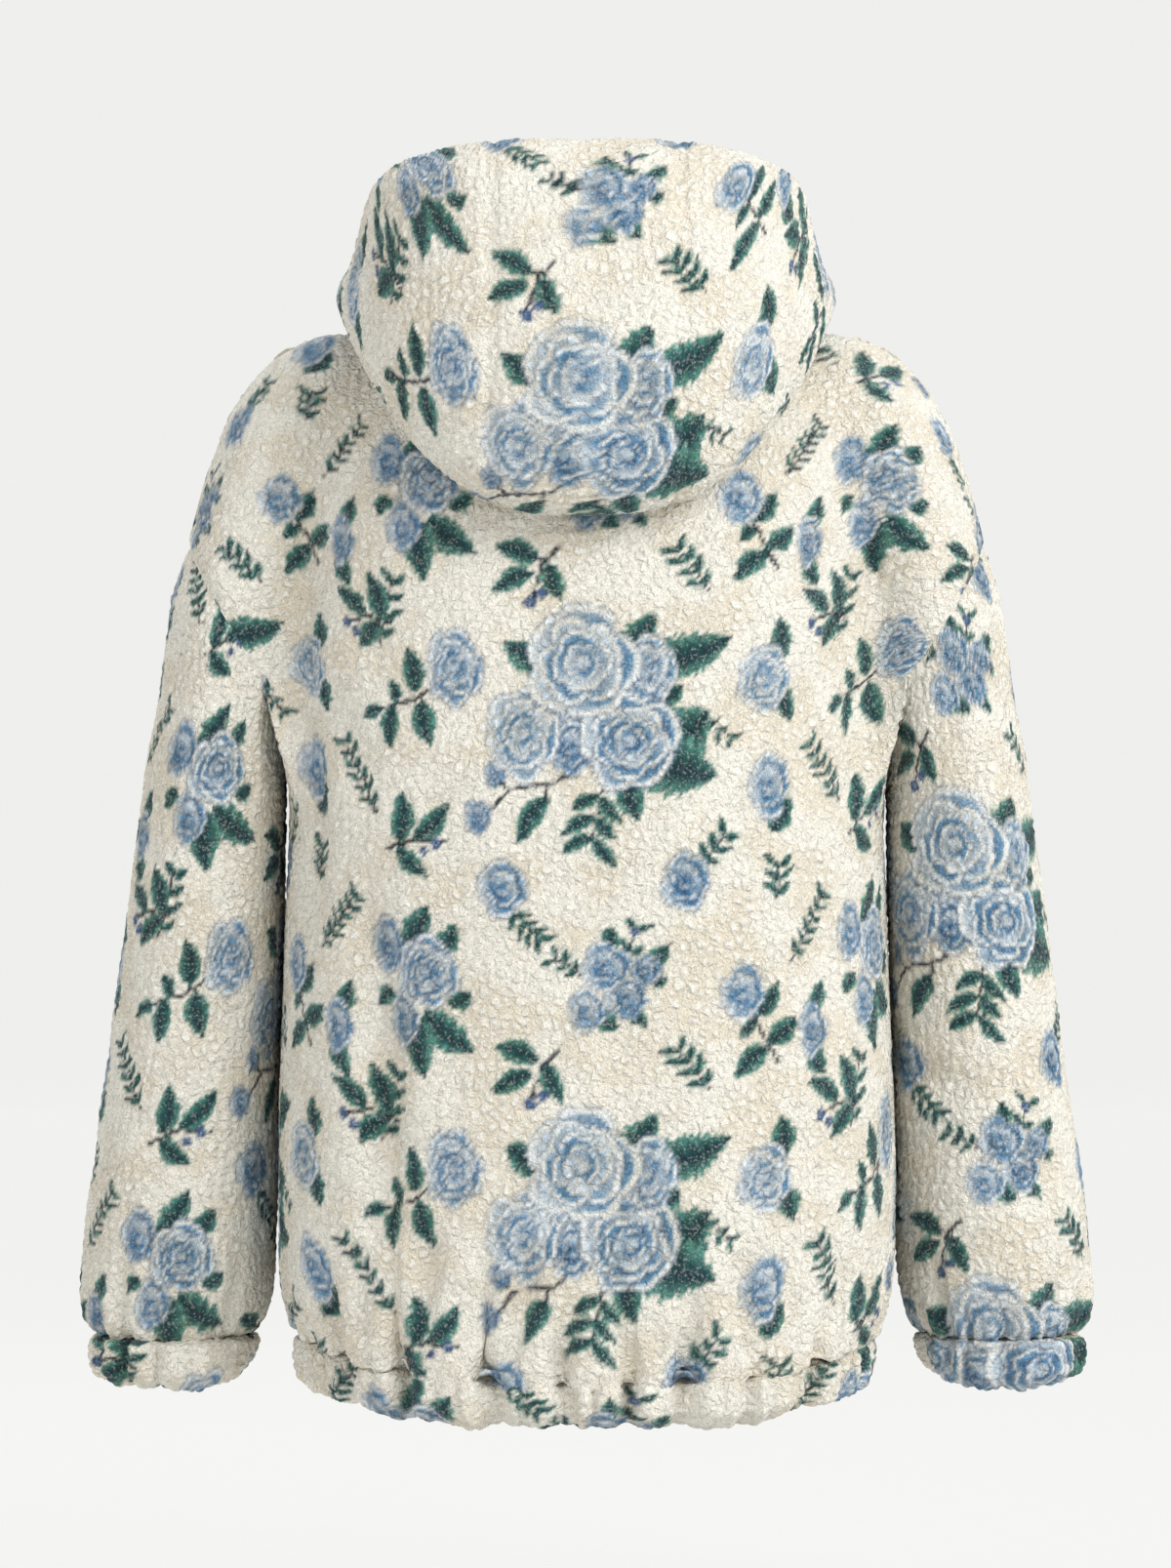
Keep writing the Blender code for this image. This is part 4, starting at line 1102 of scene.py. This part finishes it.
def tapeFinish():
    look = tapeLook
    finish = Finish("zipTapeWeave", {"Roughness": 0.75, "Specular IOR Level": 0.25})
    spot = finish.spots()
    twill = finish.ribs(spot, look["twillScale"])
    fuzz = finish.noise(spot, look["fuzzScale"])
    finish.painted(finish.blend(twill * 0.6 + fuzz * 0.3, look["dark"], look["light"]))
    finish.raised(twill + fuzz * 0.4, 0.4, look["bumpDistance"])
    return finish.material


metalLook = {
    "wearScale": 160.0,
    "light": rgba((0.72, 0.70, 0.66)),
    "dark": rgba((0.42, 0.40, 0.37)),
    "smoothest": 0.22,
    "rougher": 0.25,
    "bumpDistance": 0.0002,
}


def metalFinish():
    look = metalLook
    finish = Finish("zipMetal", {"Metallic": 1.0, "Roughness": 0.35})
    spot = finish.spots()
    wear = finish.noise(spot, look["wearScale"], 4.0)
    finish.painted(finish.blend(wear, look["dark"], look["light"]))
    finish.feed(finish.shader["Roughness"], wear * look["rougher"] + look["smoothest"])
    finish.raised(wear, 0.15, look["bumpDistance"])
    return finish.material


sherpa = sherpaFinish()
knit = knitFinish()
tape = tapeFinish()
metal = metalFinish()
print("finishes ready")


pile = {
    "clump": 0.0082,
    "tall": 0.0021,
    "uneven": 0.0018,
    "unevenSize": 0.034,
    "seamDip": 0.0022,
    "seamReach": 0.0050,
}

creaseEdges = {
    "bow": 0.010,  # how far the middle of a crease stands off its straight line
    "fade": 0.35,  # of its length, at either end
    "backOf": 0.03,  # creases lie on what is further back than this
}
creaseNames = "piece startX startZ endX endZ wide deep"
creases = [  # soft troughs and ridges, seen from the back
    ("back", -0.176, -0.175, -0.118, -0.262, 0.012, -0.0030),
    ("back", -0.184, -0.215, -0.140, -0.330, 0.012, -0.0026),
    ("back", 0.178, -0.160, 0.128, -0.258, 0.013, -0.0034),
    ("back", 0.186, -0.210, 0.160, -0.340, 0.011, -0.0028),
    ("back", -0.040, -0.165, -0.034, -0.345, 0.020, -0.0022),
    ("back", 0.064, -0.190, 0.052, -0.420, 0.022, 0.0024),
    ("back", -0.192, -0.200, -0.186, -0.430, 0.010, -0.0060),
    ("back", -0.150, -0.330, -0.138, -0.640, 0.014, -0.0070),
    ("back", 0.158, -0.100, 0.170, -0.440, 0.014, -0.0042),
    ("back", -0.090, -0.300, -0.096, -0.560, 0.018, -0.0030),
    ("back", 0.020, -0.420, 0.012, -0.600, 0.017, -0.0026),
    ("back", 0.104, -0.400, 0.098, -0.575, 0.016, -0.0026),
    ("sleeve_left", -0.199, -0.210, -0.207, -0.690, 0.013, 0.0036),
    ("sleeve_right", 0.199, -0.210, 0.207, -0.690, 0.013, 0.0036),
    ("sleeve_left", -0.292, -0.335, -0.214, -0.372, 0.010, -0.0034),
    ("sleeve_left", -0.300, -0.400, -0.228, -0.382, 0.009, -0.0028),
    ("sleeve_left", -0.262, -0.470, -0.212, -0.452, 0.010, -0.0030),
    ("sleeve_left", -0.318, -0.520, -0.262, -0.545, 0.010, -0.0026),
    ("sleeve_left", -0.250, -0.180, -0.222, -0.290, 0.012, -0.0030),
    ("sleeve_right", 0.288, -0.350, 0.212, -0.385, 0.010, -0.0034),
    ("sleeve_right", 0.302, -0.425, 0.236, -0.402, 0.009, -0.0028),
    ("sleeve_right", 0.268, -0.492, 0.212, -0.478, 0.010, -0.0030),
    ("sleeve_right", 0.322, -0.545, 0.262, -0.560, 0.010, -0.0026),
    ("sleeve_right", 0.250, -0.170, 0.222, -0.300, 0.012, -0.0032),
]

gatherRules = {  # seed, spacing and depth
    "hem": (11, 0.048, 0.017),
    "cuff_left": (5, 0.034, 0.013),
    "cuff_right": (9, 0.034, 0.013),
}
fineGather = {
    "margin": 0.012,
    "half": (0.0030, 0.0048),
    "long": (0.012, 0.034),
    "deep": (0.0030, 0.0090),
    "spacing": (0.011, 0.024),
}
wideGather = {
    "half": (0.11, 0.20),  # of the spacing
    "long": (0.025, 0.095),
    "deep": (0.35, 1.0),  # of the depth
    "step": (0.6, 1.4),  # of the spacing
}
gatherAtSeam = 0.45  # of a gather's depth, rising to all of it
gatherFull = 0.03  # at this height

backGathers = [  # across from the back's middle, half width, length up the cloth and depth
    (-0.165, 0.0060, 0.070, 0.012),
    (-0.118, 0.0080, 0.110, 0.020),
    (-0.061, 0.0085, 0.130, 0.022),
    (-0.015, 0.0055, 0.070, 0.017),
    (0.026, 0.0060, 0.060, 0.016),
    (0.060, 0.0070, 0.085, 0.020),
    (0.104, 0.0055, 0.045, 0.012),
    (0.150, 0.0065, 0.060, 0.014),
]


# the many small gathers that the elastic makes beside its own seam
def fineGathers(rng, total):
    rows = []
    at = fineGather["margin"]
    while at < total - fineGather["margin"]:
        rows.append((at, *[rng.uniform(*fineGather[name]) for name in ("half", "long", "deep")]))
        at += rng.uniform(*fineGather["spacing"])
    return rows


# gathers along a seam of this length: place, half width, length up the cloth and depth
def gatherRows(name, total):
    seed, spacing, deep = gatherRules[name]
    rng = np.random.default_rng(seed)
    rows = fineGathers(rng, total)
    at = 0.6 * spacing
    while at < total - 0.5 * spacing:
        long = rng.uniform(*wideGather["long"])
        half = spacing * rng.uniform(*wideGather["half"])
        rows.append((at, half, long, deep * rng.uniform(*wideGather["deep"])))
        at += spacing * rng.uniform(*wideGather["step"])
    return rows


def gathered(around, up, rows):
    push = np.zeros(np.broadcast(around, up).shape)
    for at, wide, long, deep in rows:
        push -= deep * bell(around - at, wide) * smoothStep(1 - up / long)
    return push * (gatherAtSeam + (1 - gatherAtSeam) * smoothStep(up / gatherFull))


# how far the cloth at an elastic's seam is eased out into the groove there
seamFill = {
    "reach": 0.012,
    "hem": 0.0085,
    "cuff": 0.0060,
    "hemHalf": 0.185,  # the hem's groove is left alone further than this from the back's middle
    "fade": 0.06,
    "least": 0.6,  # the ease varies from this share of it upwards
    "varies": 0.8,
    "patch": 0.045,
}


def filled(around, up, out, middle, deep):
    look = seamFill
    loose = unevenness(np.stack([around, around * 0], axis=-1), look["patch"], 1) + 0.5
    near = 1 if middle is None else smoothStep((look["hemHalf"] - np.abs(around - middle)) / look["fade"])
    return deep * (look["least"] + look["varies"] * loose) * near * out[:, 1] ** 2 * bell(up, look["reach"])


def creased(name, points):
    push = np.zeros(len(points))
    for row in creases:
        crease = dict(zip(creaseNames.split(), row))
        if crease["piece"] != name:
            continue
        start = np.array([crease["startX"], crease["startZ"]])
        axis = np.array([crease["endX"], crease["endZ"]]) - start
        gap = points[:, (0, 2)] - start
        along = gap @ axis / (axis @ axis)
        across = (gap[:, 0] * axis[1] - gap[:, 1] * axis[0]) / np.hypot(*axis)
        bow = across + creaseEdges["bow"] * np.sin(math.pi * along)
        fade = smoothStep(along / creaseEdges["fade"]) * smoothStep((1 - along) / creaseEdges["fade"])
        push += crease["deep"] * bell(bow, crease["wide"]) * fade * (points[:, 1] < creaseEdges["backOf"])
    return push


# how far the pile's tufts stand out at each place of the cloth
def tufts(places):
    first, second, own = clumps(places, pile["clump"])
    tuft = np.sqrt(np.minimum(second - first, 0.5) / 0.5)
    return pile["tall"] * (tuft - 0.6) * (0.7 + 0.6 * own)


# a piece's cloth as a grid of points, its places on the printed cloth and what pushes them outwards
class Sheet:
    def __init__(self, name, grid, places, shift, seams, single=np.s_[:, :]):
        self.name = name
        self.grid = grid
        self.shift = shift
        self.single = single  # the rows and columns that aren't turned in
        self.there = ~np.isnan(grid[..., 0])
        self.mesh, self.index = gridMesh(name, self.there)
        self.points = grid.reshape(-1, 3)[self.index]
        self.places = places.reshape(-1, 2)[self.index]
        self.heights = places[..., 1]
        flags = np.zeros(grid.shape[:2], bool)
        for rows, columns in seams:
            flags[rows, columns] = True
        self.seams = flags.ravel()[self.index]
        setPoints(self.mesh, self.points)
        self.normals = pointNormals(self.mesh)
        self.fold = creased(name, self.points)

    # the pile, which sinks towards the seams
    def addPile(self):
        tree = kdtree.KDTree(int(self.seams.sum()))
        for k, point in enumerate(self.points[self.seams]):
            tree.insert(point, k)
        tree.balance()
        gap = np.array([tree.find(point)[2] for point in self.points])
        uneven = pile["uneven"] * unevenness(self.places, pile["unevenSize"], 2)
        dip = pile["seamDip"] * np.exp(-((gap / pile["seamReach"]) ** 1.5))
        self.pile = tufts(self.places) + uneven - dip

    def moved(self):
        return self.points + self.normals * (self.fold + self.pile)[:, None]

    # gathers that run up from the first row
    def gather(self, around, rows, middle, deep):
        up = (self.heights - self.heights[0]).ravel()[self.index]
        around = np.broadcast_to(around, self.there.shape).ravel()[self.index]
        self.fold += gathered(around, up, rows) + filled(around, up, self.normals, middle, deep)

    # for each place of the grid, the deepest fold within a few rows and columns
    def foldNear(self, reach):
        fold = np.zeros(self.there.size)
        fold[self.index] = self.fold
        padded = np.pad(fold.reshape(self.there.shape), reach, "edge")
        windows = np.lib.stride_tricks.sliding_window_view(padded, (2 * reach + 1, 2 * reach + 1))
        return windows.min(axis=(2, 3))


# joined sheets share the displaced places of the points that they have in common
def joinSheets(sheets):
    total, count = {}, {}
    moved = [sheet.moved() for sheet in sheets]
    keys = [[tuple(point) for point in np.round(sheet.points[sheet.seams], 6)] for sheet in sheets]
    for places, sheet, own in zip(moved, sheets, keys):
        for key, place in zip(own, places[sheet.seams]):
            total[key] = total.get(key, 0) + place
            count[key] = count.get(key, 0) + 1
    for places, sheet, own in zip(moved, sheets, keys):
        places[sheet.seams] = [total[key] / count[key] for key in own]
        setPoints(sheet.mesh, places)


def paintPrint(mesh, places, shift):
    colours = np.ones((len(places), 4), np.float32)
    colours[:, :3] = printColours(places, shift)
    layer = mesh.color_attributes.new("print", "FLOAT_COLOR", "POINT")
    layer.data.foreach_set("color", colours.ravel())


reverseLook = {
    "gap": 0.0004,
    "skirtIn": 0.0062,
    "skirtDown": 0.009,
}


# the knitted reverse, a coarser sheet just inside its own piece
def addReverse(sheet):
    step = fineness["reverse"]
    fold = sheet.foldNear(step)[sheet.single]
    rows, columns = [np.unique(np.append(np.arange(0, count, step), count - 1)) for count in fold.shape]
    coarse = sheet.grid[sheet.single][np.ix_(rows, columns)]
    away = fold[np.ix_(rows, columns)] - jacket["cloth"] - reverseLook["gap"]
    if sheet.name.startswith("hood"):  # a row more, down into the neck behind the seam
        skirt = coarse[0] - reverseLook["skirtIn"] * unit(coarse[0] * (1, 1, 0))
        skirt = skirt - (0, 0, reverseLook["skirtDown"])
        coarse = np.concatenate([skirt[None], coarse])
        away = np.concatenate([away[:1] * 0, away])
    mesh, index = gridMesh(sheet.name + "_reverse", ~np.isnan(coarse[..., 0]))
    points = coarse.reshape(-1, 3)[index]
    setPoints(mesh, points)
    setPoints(mesh, points + pointNormals(mesh) * away.ravel()[index][:, None])
    return addObject(sheet.name + "_reverse", mesh, knit)


def folded(grid, side):
    return grid + np.nan_to_num(facings(grid)) * foldAt(grid, side)[..., None]


# the largest row and column of a grid, and its area: the flat cloth that it takes
def cutOf(grid):
    wide = arcs(grid, 1)[:, -1].max()
    long = arcs(grid, 0)[-1].max()
    a = grid[1:, 1:] - grid[:-1, :-1]
    b = grid[1:, :-1] - grid[:-1, 1:]
    area = np.nansum(np.linalg.norm(np.cross(a, b), axis=-1)) / 2
    return round(float(wide), 3), round(float(long), 3), round(float(area), 4)


shifts = {  # where each piece is cut from the printed cloth, in chart units
    "back": (482.9, -187.1),
    "front_left": (330.0, -187.1),
    "front_right": (700.0, -187.1),
    "hood": (490.0, 545.0),
    "sleeve_left": (180.0, -690.0),
    "sleeve_right": (500.0, -497.0),
}

free, low, neckCount = columnCounts()
edge = free + low
quarterBack = quarter("back")
backGrid = folded(np.concatenate([mirrored(quarterBack)[:, :-1], quarterBack], axis=1), "back")
plainFront = quarter("front")[:, ::-1]
frontRight = folded(plainFront, "front")
frontLeft = folded(mirrored(plainFront), "front")

hemRing = np.concatenate([frontLeft[0], backGrid[0, 1:], frontRight[0, 1:]])
hemAround = lengthsAlong(hemRing)
backMiddle = hemAround[2 * edge]
backReach = 0.19  # along the hem from the back's middle: the table's gathers take the wide ones' place
fineHalf = 0.005
hemGathers = gatherRows("hem", hemAround[-1])
hemGathers = [row for row in hemGathers if abs(row[0] - backMiddle) > backReach or row[1] < fineHalf]
hemGathers += [(backMiddle + row[0], *row[1:]) for row in backGathers]
hemOf = {
    "front_left": hemAround[: edge + 1],
    "back": hemAround[edge : 3 * edge + 1],
    "front_right": hemAround[3 * edge :],
}

bodySheets = []
bodyGrids = [("back", backGrid, edge), ("front_left", frontLeft, 0), ("front_right", frontRight, edge)]
for name, grid, zero in bodyGrids:
    places = clothPlaces(grid, zero, underarmRow, jacket["underarmZ"])
    around = hemOf[name]
    start, end = 0, grid.shape[1] - 1
    single = np.s_[:, :]
    if name != "back":
        isRight = name == "front_right"
        plain = grid.shape[1]
        grid, places = turnedColumns(grid, places, turnedIn["zipWide"], isRight)
        added = grid.shape[1] - plain
        around = np.pad(around, (0, added) if isRight else (added, 0), "edge")
        start, end = (0, end) if isRight else (added, end + added)
        single = np.s_[:, : plain - added] if isRight else np.s_[:, 2 * added :]
    seams = [(0, slice(None)), (-1, slice(None))]
    if name != "front_left":
        seams += [(slice(0, underarmRow), start), (underarmRow, slice(start, start + low + 1))]
        seams += [(slice(underarmRow, None), start + low)]
    if name != "front_right":
        seams += [(slice(0, underarmRow), end), (underarmRow, slice(end - low, end + 1))]
        seams += [(slice(underarmRow, None), end - low)]
    sheet = Sheet(name, grid, places, shifts[name], seams, single)
    sheet.gather(around, hemGathers, backMiddle, seamFill["hem"])
    bodySheets.append(sheet)


def backColumnOf(name, count):
    return count // 4 if name == "sleeve_right" else count - count // 4


sleeveSheets = []
cuffGathers = {}
sleeveRight = sleeveGrid()
for name, grid in (("sleeve_right", sleeveRight), ("sleeve_left", mirrored(sleeveRight))):
    backColumn = backColumnOf(name, grid.shape[1] - 1)
    places = clothPlaces(grid, backColumn, 0, jacket["sleeveFoot"])
    seams = [(0, slice(None)), (-1, slice(None)), (slice(None), 0), (slice(None), -1)]
    sheet = Sheet(name, grid, places, shifts[name], seams)
    around = lengthsAlong(grid[0])
    cuff = name.replace("sleeve", "cuff")
    cuffGathers[cuff] = gatherRows(cuff, around[-1])
    sheet.gather(around, cuffGathers[cuff], None, seamFill["cuff"])
    sleeveSheets.append(sheet)

neck = np.concatenate([backGrid[-1, edge : edge + neckCount + 1], frontRight[-1, -neckCount:]])
hoodHalf = hoodGrid(withBetween(neck, fineness["hoodPerColumn"]))
hoodWhole = np.concatenate([mirrored(hoodHalf)[:, :-1], hoodHalf], axis=1)
hoodMiddle = hoodHalf.shape[1] - 1
hoodPlaces = clothPlaces(hoodWhole, hoodMiddle, hoodShape["rows"] // 2, 0)
hoodWhole, hoodPlaces = turnedHem(hoodWhole, hoodPlaces, turnedIn["hoodWide"])
hoodSeam = hoodShape["seamColumns"]
hoodCuts = {
    "hood_side_left": slice(0, hoodMiddle - hoodSeam + 1),
    "hood_centre": slice(hoodMiddle - hoodSeam, hoodMiddle + hoodSeam + 1),
    "hood_side_right": slice(hoodMiddle + hoodSeam, None),
}
hoodSheets = []
for name, columns in hoodCuts.items():
    seams = [(0, slice(None))]
    seams += [(slice(None), -1)] if name != "hood_side_right" else []
    seams += [(slice(None), 0)] if name != "hood_side_left" else []
    single = np.s_[: hoodShape["rows"] - hoodShape["rimRows"], :]
    grid, places = hoodWhole[:, columns], hoodPlaces[:, columns]
    hoodSheets.append(Sheet(name, grid, places, shifts["hood"], seams, single))
print("cloth laid out")

allSheets = bodySheets + sleeveSheets + hoodSheets
for sheet in allSheets:
    sheet.addPile()
joinSheets(allSheets)
nodesOf = {"back": ["back_panel", "back_yoke"]}
for sheet in allSheets:
    paintPrint(sheet.mesh, sheet.places, sheet.shift)
    nodes = nodesOf.get(sheet.name, [sheet.name])
    obj = addObject(sheet.name + "_cloth", sheet.mesh, sherpa, nodes)
    reverse = addReverse(sheet)
    cutOf(sheet.grid)
print("panels, sleeves and hood ready")


casing = {
    "section": [  # outwards, and down in its height
        (-0.0095, 0.03),
        (-0.0095, 0.76),
        (-0.0040, 1.00),
        (0.0026, 0.86),
        (0.0056, 0.44),
        (0.0042, 0.00),
        (-0.0040, -0.04),
    ],
    "puff": 0.0045,  # how much further it stands out at the front and back
    "innerLean": 0.009,  # how far a cuff's lower corner beside the body is drawn in
    "loose": 0.0050,
    "tall": 0.0335,
    "below": 0.0005,
    "flatTall": 0.042,
    "cutLonger": 1.25,  # how much longer its strip of cloth was cut than the seam it is drawn in to
    "gather": 1.8,  # its gathers are deeper than those in the cloth above
    "gatherEase": 0.25,
    "innerGather": 0.6,
    "innerFrom": -0.005,
    "outerFull": 0.004,
    "patch": 0.026,
    "endFade": 0.008,
    "droop": 0.16,
    "hemFoot": -0.682,
    "cornerLift": 0.24,  # how much of a cuff's height is lost at its two sides
}


# a closed line with its corners cut off over and over
def rounded(points, times):
    for _ in range(times):
        after = np.roll(points, -1, axis=0)
        points = np.stack([0.75 * points + 0.25 * after, 0.25 * points + 0.75 * after], axis=1).reshape(-1, 2)
    return points


# the soft tube of cloth below a seam ring
def addCasing(name, node, ring, gathers, shift, zeroAround, height, middle, deep):
    isClosed = np.allclose(ring[0], ring[-1], atol=1e-5)
    tangent = np.gradient(ring, axis=0)
    if isClosed:
        tangent[0] = tangent[-1] = ring[1] - ring[-2]
    out = unit(np.cross(tangent, (0, 0, 1)))
    around = lengthsAlong(ring)
    section = rounded(np.array(casing["section"]), 3)
    section = np.concatenate([section, section[:1]])
    ends = smoothStep(np.minimum(around, around[-1] - around) / casing["endFade"])
    gather = casing["gather"] * gathered(around, 0, gathers) * ends
    loose = unevenness(np.stack([around, around * 0], axis=1), casing["patch"], 0) * ends
    fill = filled(around, 0, out, middle, deep) * ends
    centre = (ring[:, 0].min() + ring[:, 0].max()) / 2
    side = np.abs(ring[:, 0] - centre) / np.abs(ring[:, 0] - centre).max()
    inner = np.sign(centre) * (side * (abs(centre) > abs(ring[:, 0]))) ** 3
    tall = casing["tall"] * (1 - casing["cornerLift"] * side**6 * isClosed)
    rows, places = [], []
    length = 0.0
    last = section[0]
    for offset, drop in section:
        ease = 1 - casing["gatherEase"] * drop
        outer = min(1, max(0, offset / casing["outerFull"]))
        away = offset + gather * ease * (1 if offset > casing["innerFrom"] else casing["innerGather"])
        away = away + (casing["loose"] * loose + casing["puff"] * out[:, 1] ** 2 + fill * ease) * outer
        row = ring + out * away[:, None]
        row[:, 0] += inner * drop * casing["innerLean"] * isClosed
        droop = casing["droop"]
        row[:, 2] -= casing["below"] + drop * (tall * (1 + droop * loose) + droop * gather)
        rows.append(row)
        length += math.hypot(offset - last[0], (drop - last[1]) * casing["tall"])
        last = (offset, drop)
        places.append(np.stack([around - zeroAround, np.full(len(ring), length)], axis=1))
    places = np.array(places)
    places[..., 1] += height - length
    grid = np.array(rows)
    mesh, index = gridMesh(name, np.ones(grid.shape[:2], bool))
    points = grid.reshape(-1, 3)[index]
    flat = places.reshape(-1, 2)[index]
    setPoints(mesh, points)
    push = tufts(flat)
    normals = pointNormals(mesh)
    count = grid.shape[1]
    row = index // count
    column = index % count
    push[(row == 0) | (row == len(section) - 1)] = 0
    if isClosed:
        push[(column == 0) | (column == count - 1)] = 0
    setPoints(mesh, points + normals * push[:, None])
    paintPrint(mesh, flat, shift)
    bm = bmesh.new()
    bm.from_mesh(mesh)
    bmesh.ops.remove_doubles(bm, verts=bm.verts, dist=1e-5)
    openEdges = [e for e in bm.edges if e.is_boundary]
    bmesh.ops.holes_fill(bm, edges=openEdges, sides=0)
    bmesh.ops.recalc_face_normals(bm, faces=bm.faces)
    closeMesh(bm, mesh)
    obj = addObject(name, mesh, sherpa, [node])


hemPlace = (shifts["back"], backMiddle, casing["hemFoot"], backMiddle, seamFill["hem"])
addCasing("hem_casing_cloth", "hem_casing", hemRing, hemGathers, *hemPlace)
for sheet in sleeveSheets:
    cuff = sheet.name.replace("sleeve", "cuff")
    ring = sheet.grid[0]
    zeroAround = lengthsAlong(ring)[backColumnOf(sheet.name, len(ring) - 1)]
    cuffPlace = (shifts[sheet.name], zeroAround, jacket["sleeveFoot"], None, seamFill["cuff"])
    addCasing(cuff + "_cloth", cuff.replace("cuff", "cuff_casing"), ring, cuffGathers[cuff], *cuffPlace)
print("casings ready")


# a two-sided coil zip: teeth of both rows along the solid chain's own line
zipTeeth = {
    "pitch": 0.0026,
    "wide": 0.0036,
    "tall": 0.0014,
    "deep": 0.0018,
    "shift": 0.0013,
    "margin": 0.002,  # left free at both ends of the chain
    "ahead": 0.003,
    "innerGrown": (1, 1.15, 1.35),  # its hooked end beside the middle
    "levelHalf": 0.0015,
}


def chainLine():
    points = np.array([v.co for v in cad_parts["zip_chain"].data.vertices], float)
    heights = np.unique(np.round(points[:, 2], 3))
    near = [np.abs(points[:, 2] - z) < zipTeeth["levelHalf"] for z in heights]
    return np.array([points[level].mean(axis=0) for level in near])


def addTeeth():
    line = chainLine()
    line[:, 0] = 0
    steps = lengthsAlong(line)
    bm = bmesh.new()
    margin, pitch = zipTeeth["margin"], zipTeeth["pitch"]
    for k in range(int((steps[-1] - 2 * margin) / pitch)):
        at = margin + k * pitch
        for side in (-1, 1):
            along = at + (pitch / 2 if side > 0 else 0)
            place, further = [
                Vector([np.interp(spot, steps, line[:, axis]) for axis in range(3)])
                for spot in (along, along + zipTeeth["ahead"])
            ]
            ahead = further - place
            lean = math.atan2(ahead.y, max(ahead.z, 1e-6))
            made = bmesh.ops.create_cube(bm, size=1)["verts"]
            size = (zipTeeth["wide"], zipTeeth["deep"], zipTeeth["tall"])
            bmesh.ops.scale(bm, verts=made, vec=size)
            inner = [v for v in made if v.co.x * side < 0]
            bmesh.ops.scale(bm, verts=inner, vec=zipTeeth["innerGrown"])
            leaning = Vector((0, math.sin(lean), math.cos(lean)))
            turned = Vector((0, 0, 1)).rotation_difference(leaning).to_matrix()
            bmesh.ops.rotate(bm, verts=made, cent=(0, 0, 0), matrix=turned)
            bmesh.ops.translate(bm, verts=made, vec=place + Vector((side * zipTeeth["shift"], 0, 0)))
    mesh = closeMesh(bm, bpy.data.meshes.new("zip_teeth"))
    addObject("zip_teeth", mesh, metal, ["zip_chain"])
    mesh.shade_flat()


addTeeth()
finishOf = {"zip_tape_left": tape, "zip_tape_right": tape}
finishOf.update({node: metal for node in ("zip_slider", "zip_end_box", "zip_pull_tab")})
for node, finish in finishOf.items():
    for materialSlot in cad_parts[node].material_slots:
        materialSlot.material = finish
print("zip ready")


studio = {
    "distance": 5.0,
    "framedHeight": 1.0445,
    "cameraX": -0.00065,
    "cameraZ": -0.298,
    "floorZ": -0.86,
    "floorHalf": 9.0,  # to the back wall and to both sides
    "wallTall": 9.0,
    "wallBend": 1.2,
    "bendSteps": 13,
    "world": 0.58,
    "worldGrey": 0.9,
    "paper": rgba(tone(240, 240, 238)),
    "paperGlow": 0.945,
    "aim": (0, 0, -0.3),
}
lights = [  # name, power, size and place
    ("key", 90.0, 1.6, (2.0, -2.7, 1.7)),
    ("fill", 27.0, 2.2, (-2.4, -2.2, 0.3)),
    ("side", 32.0, 2.0, (3.0, -1.2, 0.1)),
    ("above", 17.0, 1.6, (0.2, 0.2, 2.2)),
    ("behind", 27.0, 2.0, (-0.6, 2.0, 1.2)),
]


def addBackdrop():
    bm = bmesh.new()
    half, bend = studio["floorHalf"], studio["wallBend"]
    profile = [(-half, 0.0), (half - bend, 0.0)]
    for turn in np.linspace(0, math.pi / 2, studio["bendSteps"])[1:]:
        profile.append((half - bend + bend * math.sin(turn), bend - bend * math.cos(turn)))
    profile.append((half, studio["wallTall"]))
    verts = [bm.verts.new((-half, y, studio["floorZ"] + z)) for y, z in profile]
    edges = [bm.edges.new(pair) for pair in zip(verts[:-1], verts[1:])]
    swept = bmesh.ops.extrude_edge_only(bm, edges=edges)["geom"]
    swept = [v for v in swept if isinstance(v, bmesh.types.BMVert)]
    bmesh.ops.translate(bm, verts=swept, vec=(2 * half, 0, 0))
    bmesh.ops.recalc_face_normals(bm, faces=bm.faces)
    mesh = closeMesh(bm, bpy.data.meshes.new("backdrop"))
    mesh.shade_smooth()
    finish = Finish("palePaper", {"Roughness": 0.9, "Specular IOR Level": 0.1})
    spot = finish.spots()
    grain = finish.noise(spot, 60.0)
    finish.painted(finish.blend(grain, rgba((0.045, 0.045, 0.044)), rgba((0.055, 0.055, 0.054))))
    finish.feed(finish.shader["Emission Color"], studio["paper"])
    finish.feed(finish.shader["Emission Strength"], studio["paperGlow"])
    mesh.materials.append(finish.material)
    linked("backdrop", mesh)


addBackdrop()
for name, power, size, place in lights:
    light = bpy.data.lights.new(name, "AREA")
    light.energy = power
    light.size = size
    lamp = linked(name, light)
    lamp.location = place
    lamp.rotation_euler = (Vector(studio["aim"]) - lamp.location).to_track_quat("-Z", "Y").to_euler()

world = bpy.data.worlds.new("studio")
world.use_nodes = True
background = world.node_tree.nodes["Background"].inputs
background["Color"].default_value = rgba([studio["worldGrey"]] * 3)
background["Strength"].default_value = studio["world"]
bpy.context.scene.world = world
bpy.context.scene.view_settings.view_transform = "Standard"

lens = bpy.data.cameras.new("camera")
lens.lens = lens.sensor_width * studio["distance"] / studio["framedHeight"]
lens.clip_end = 60
camera = linked("camera", lens)
camera.location = (studio["cameraX"], -studio["distance"], studio["cameraZ"])
camera.rotation_euler = (math.pi / 2, 0, 0)
bpy.context.scene.camera = camera
print("studio ready")
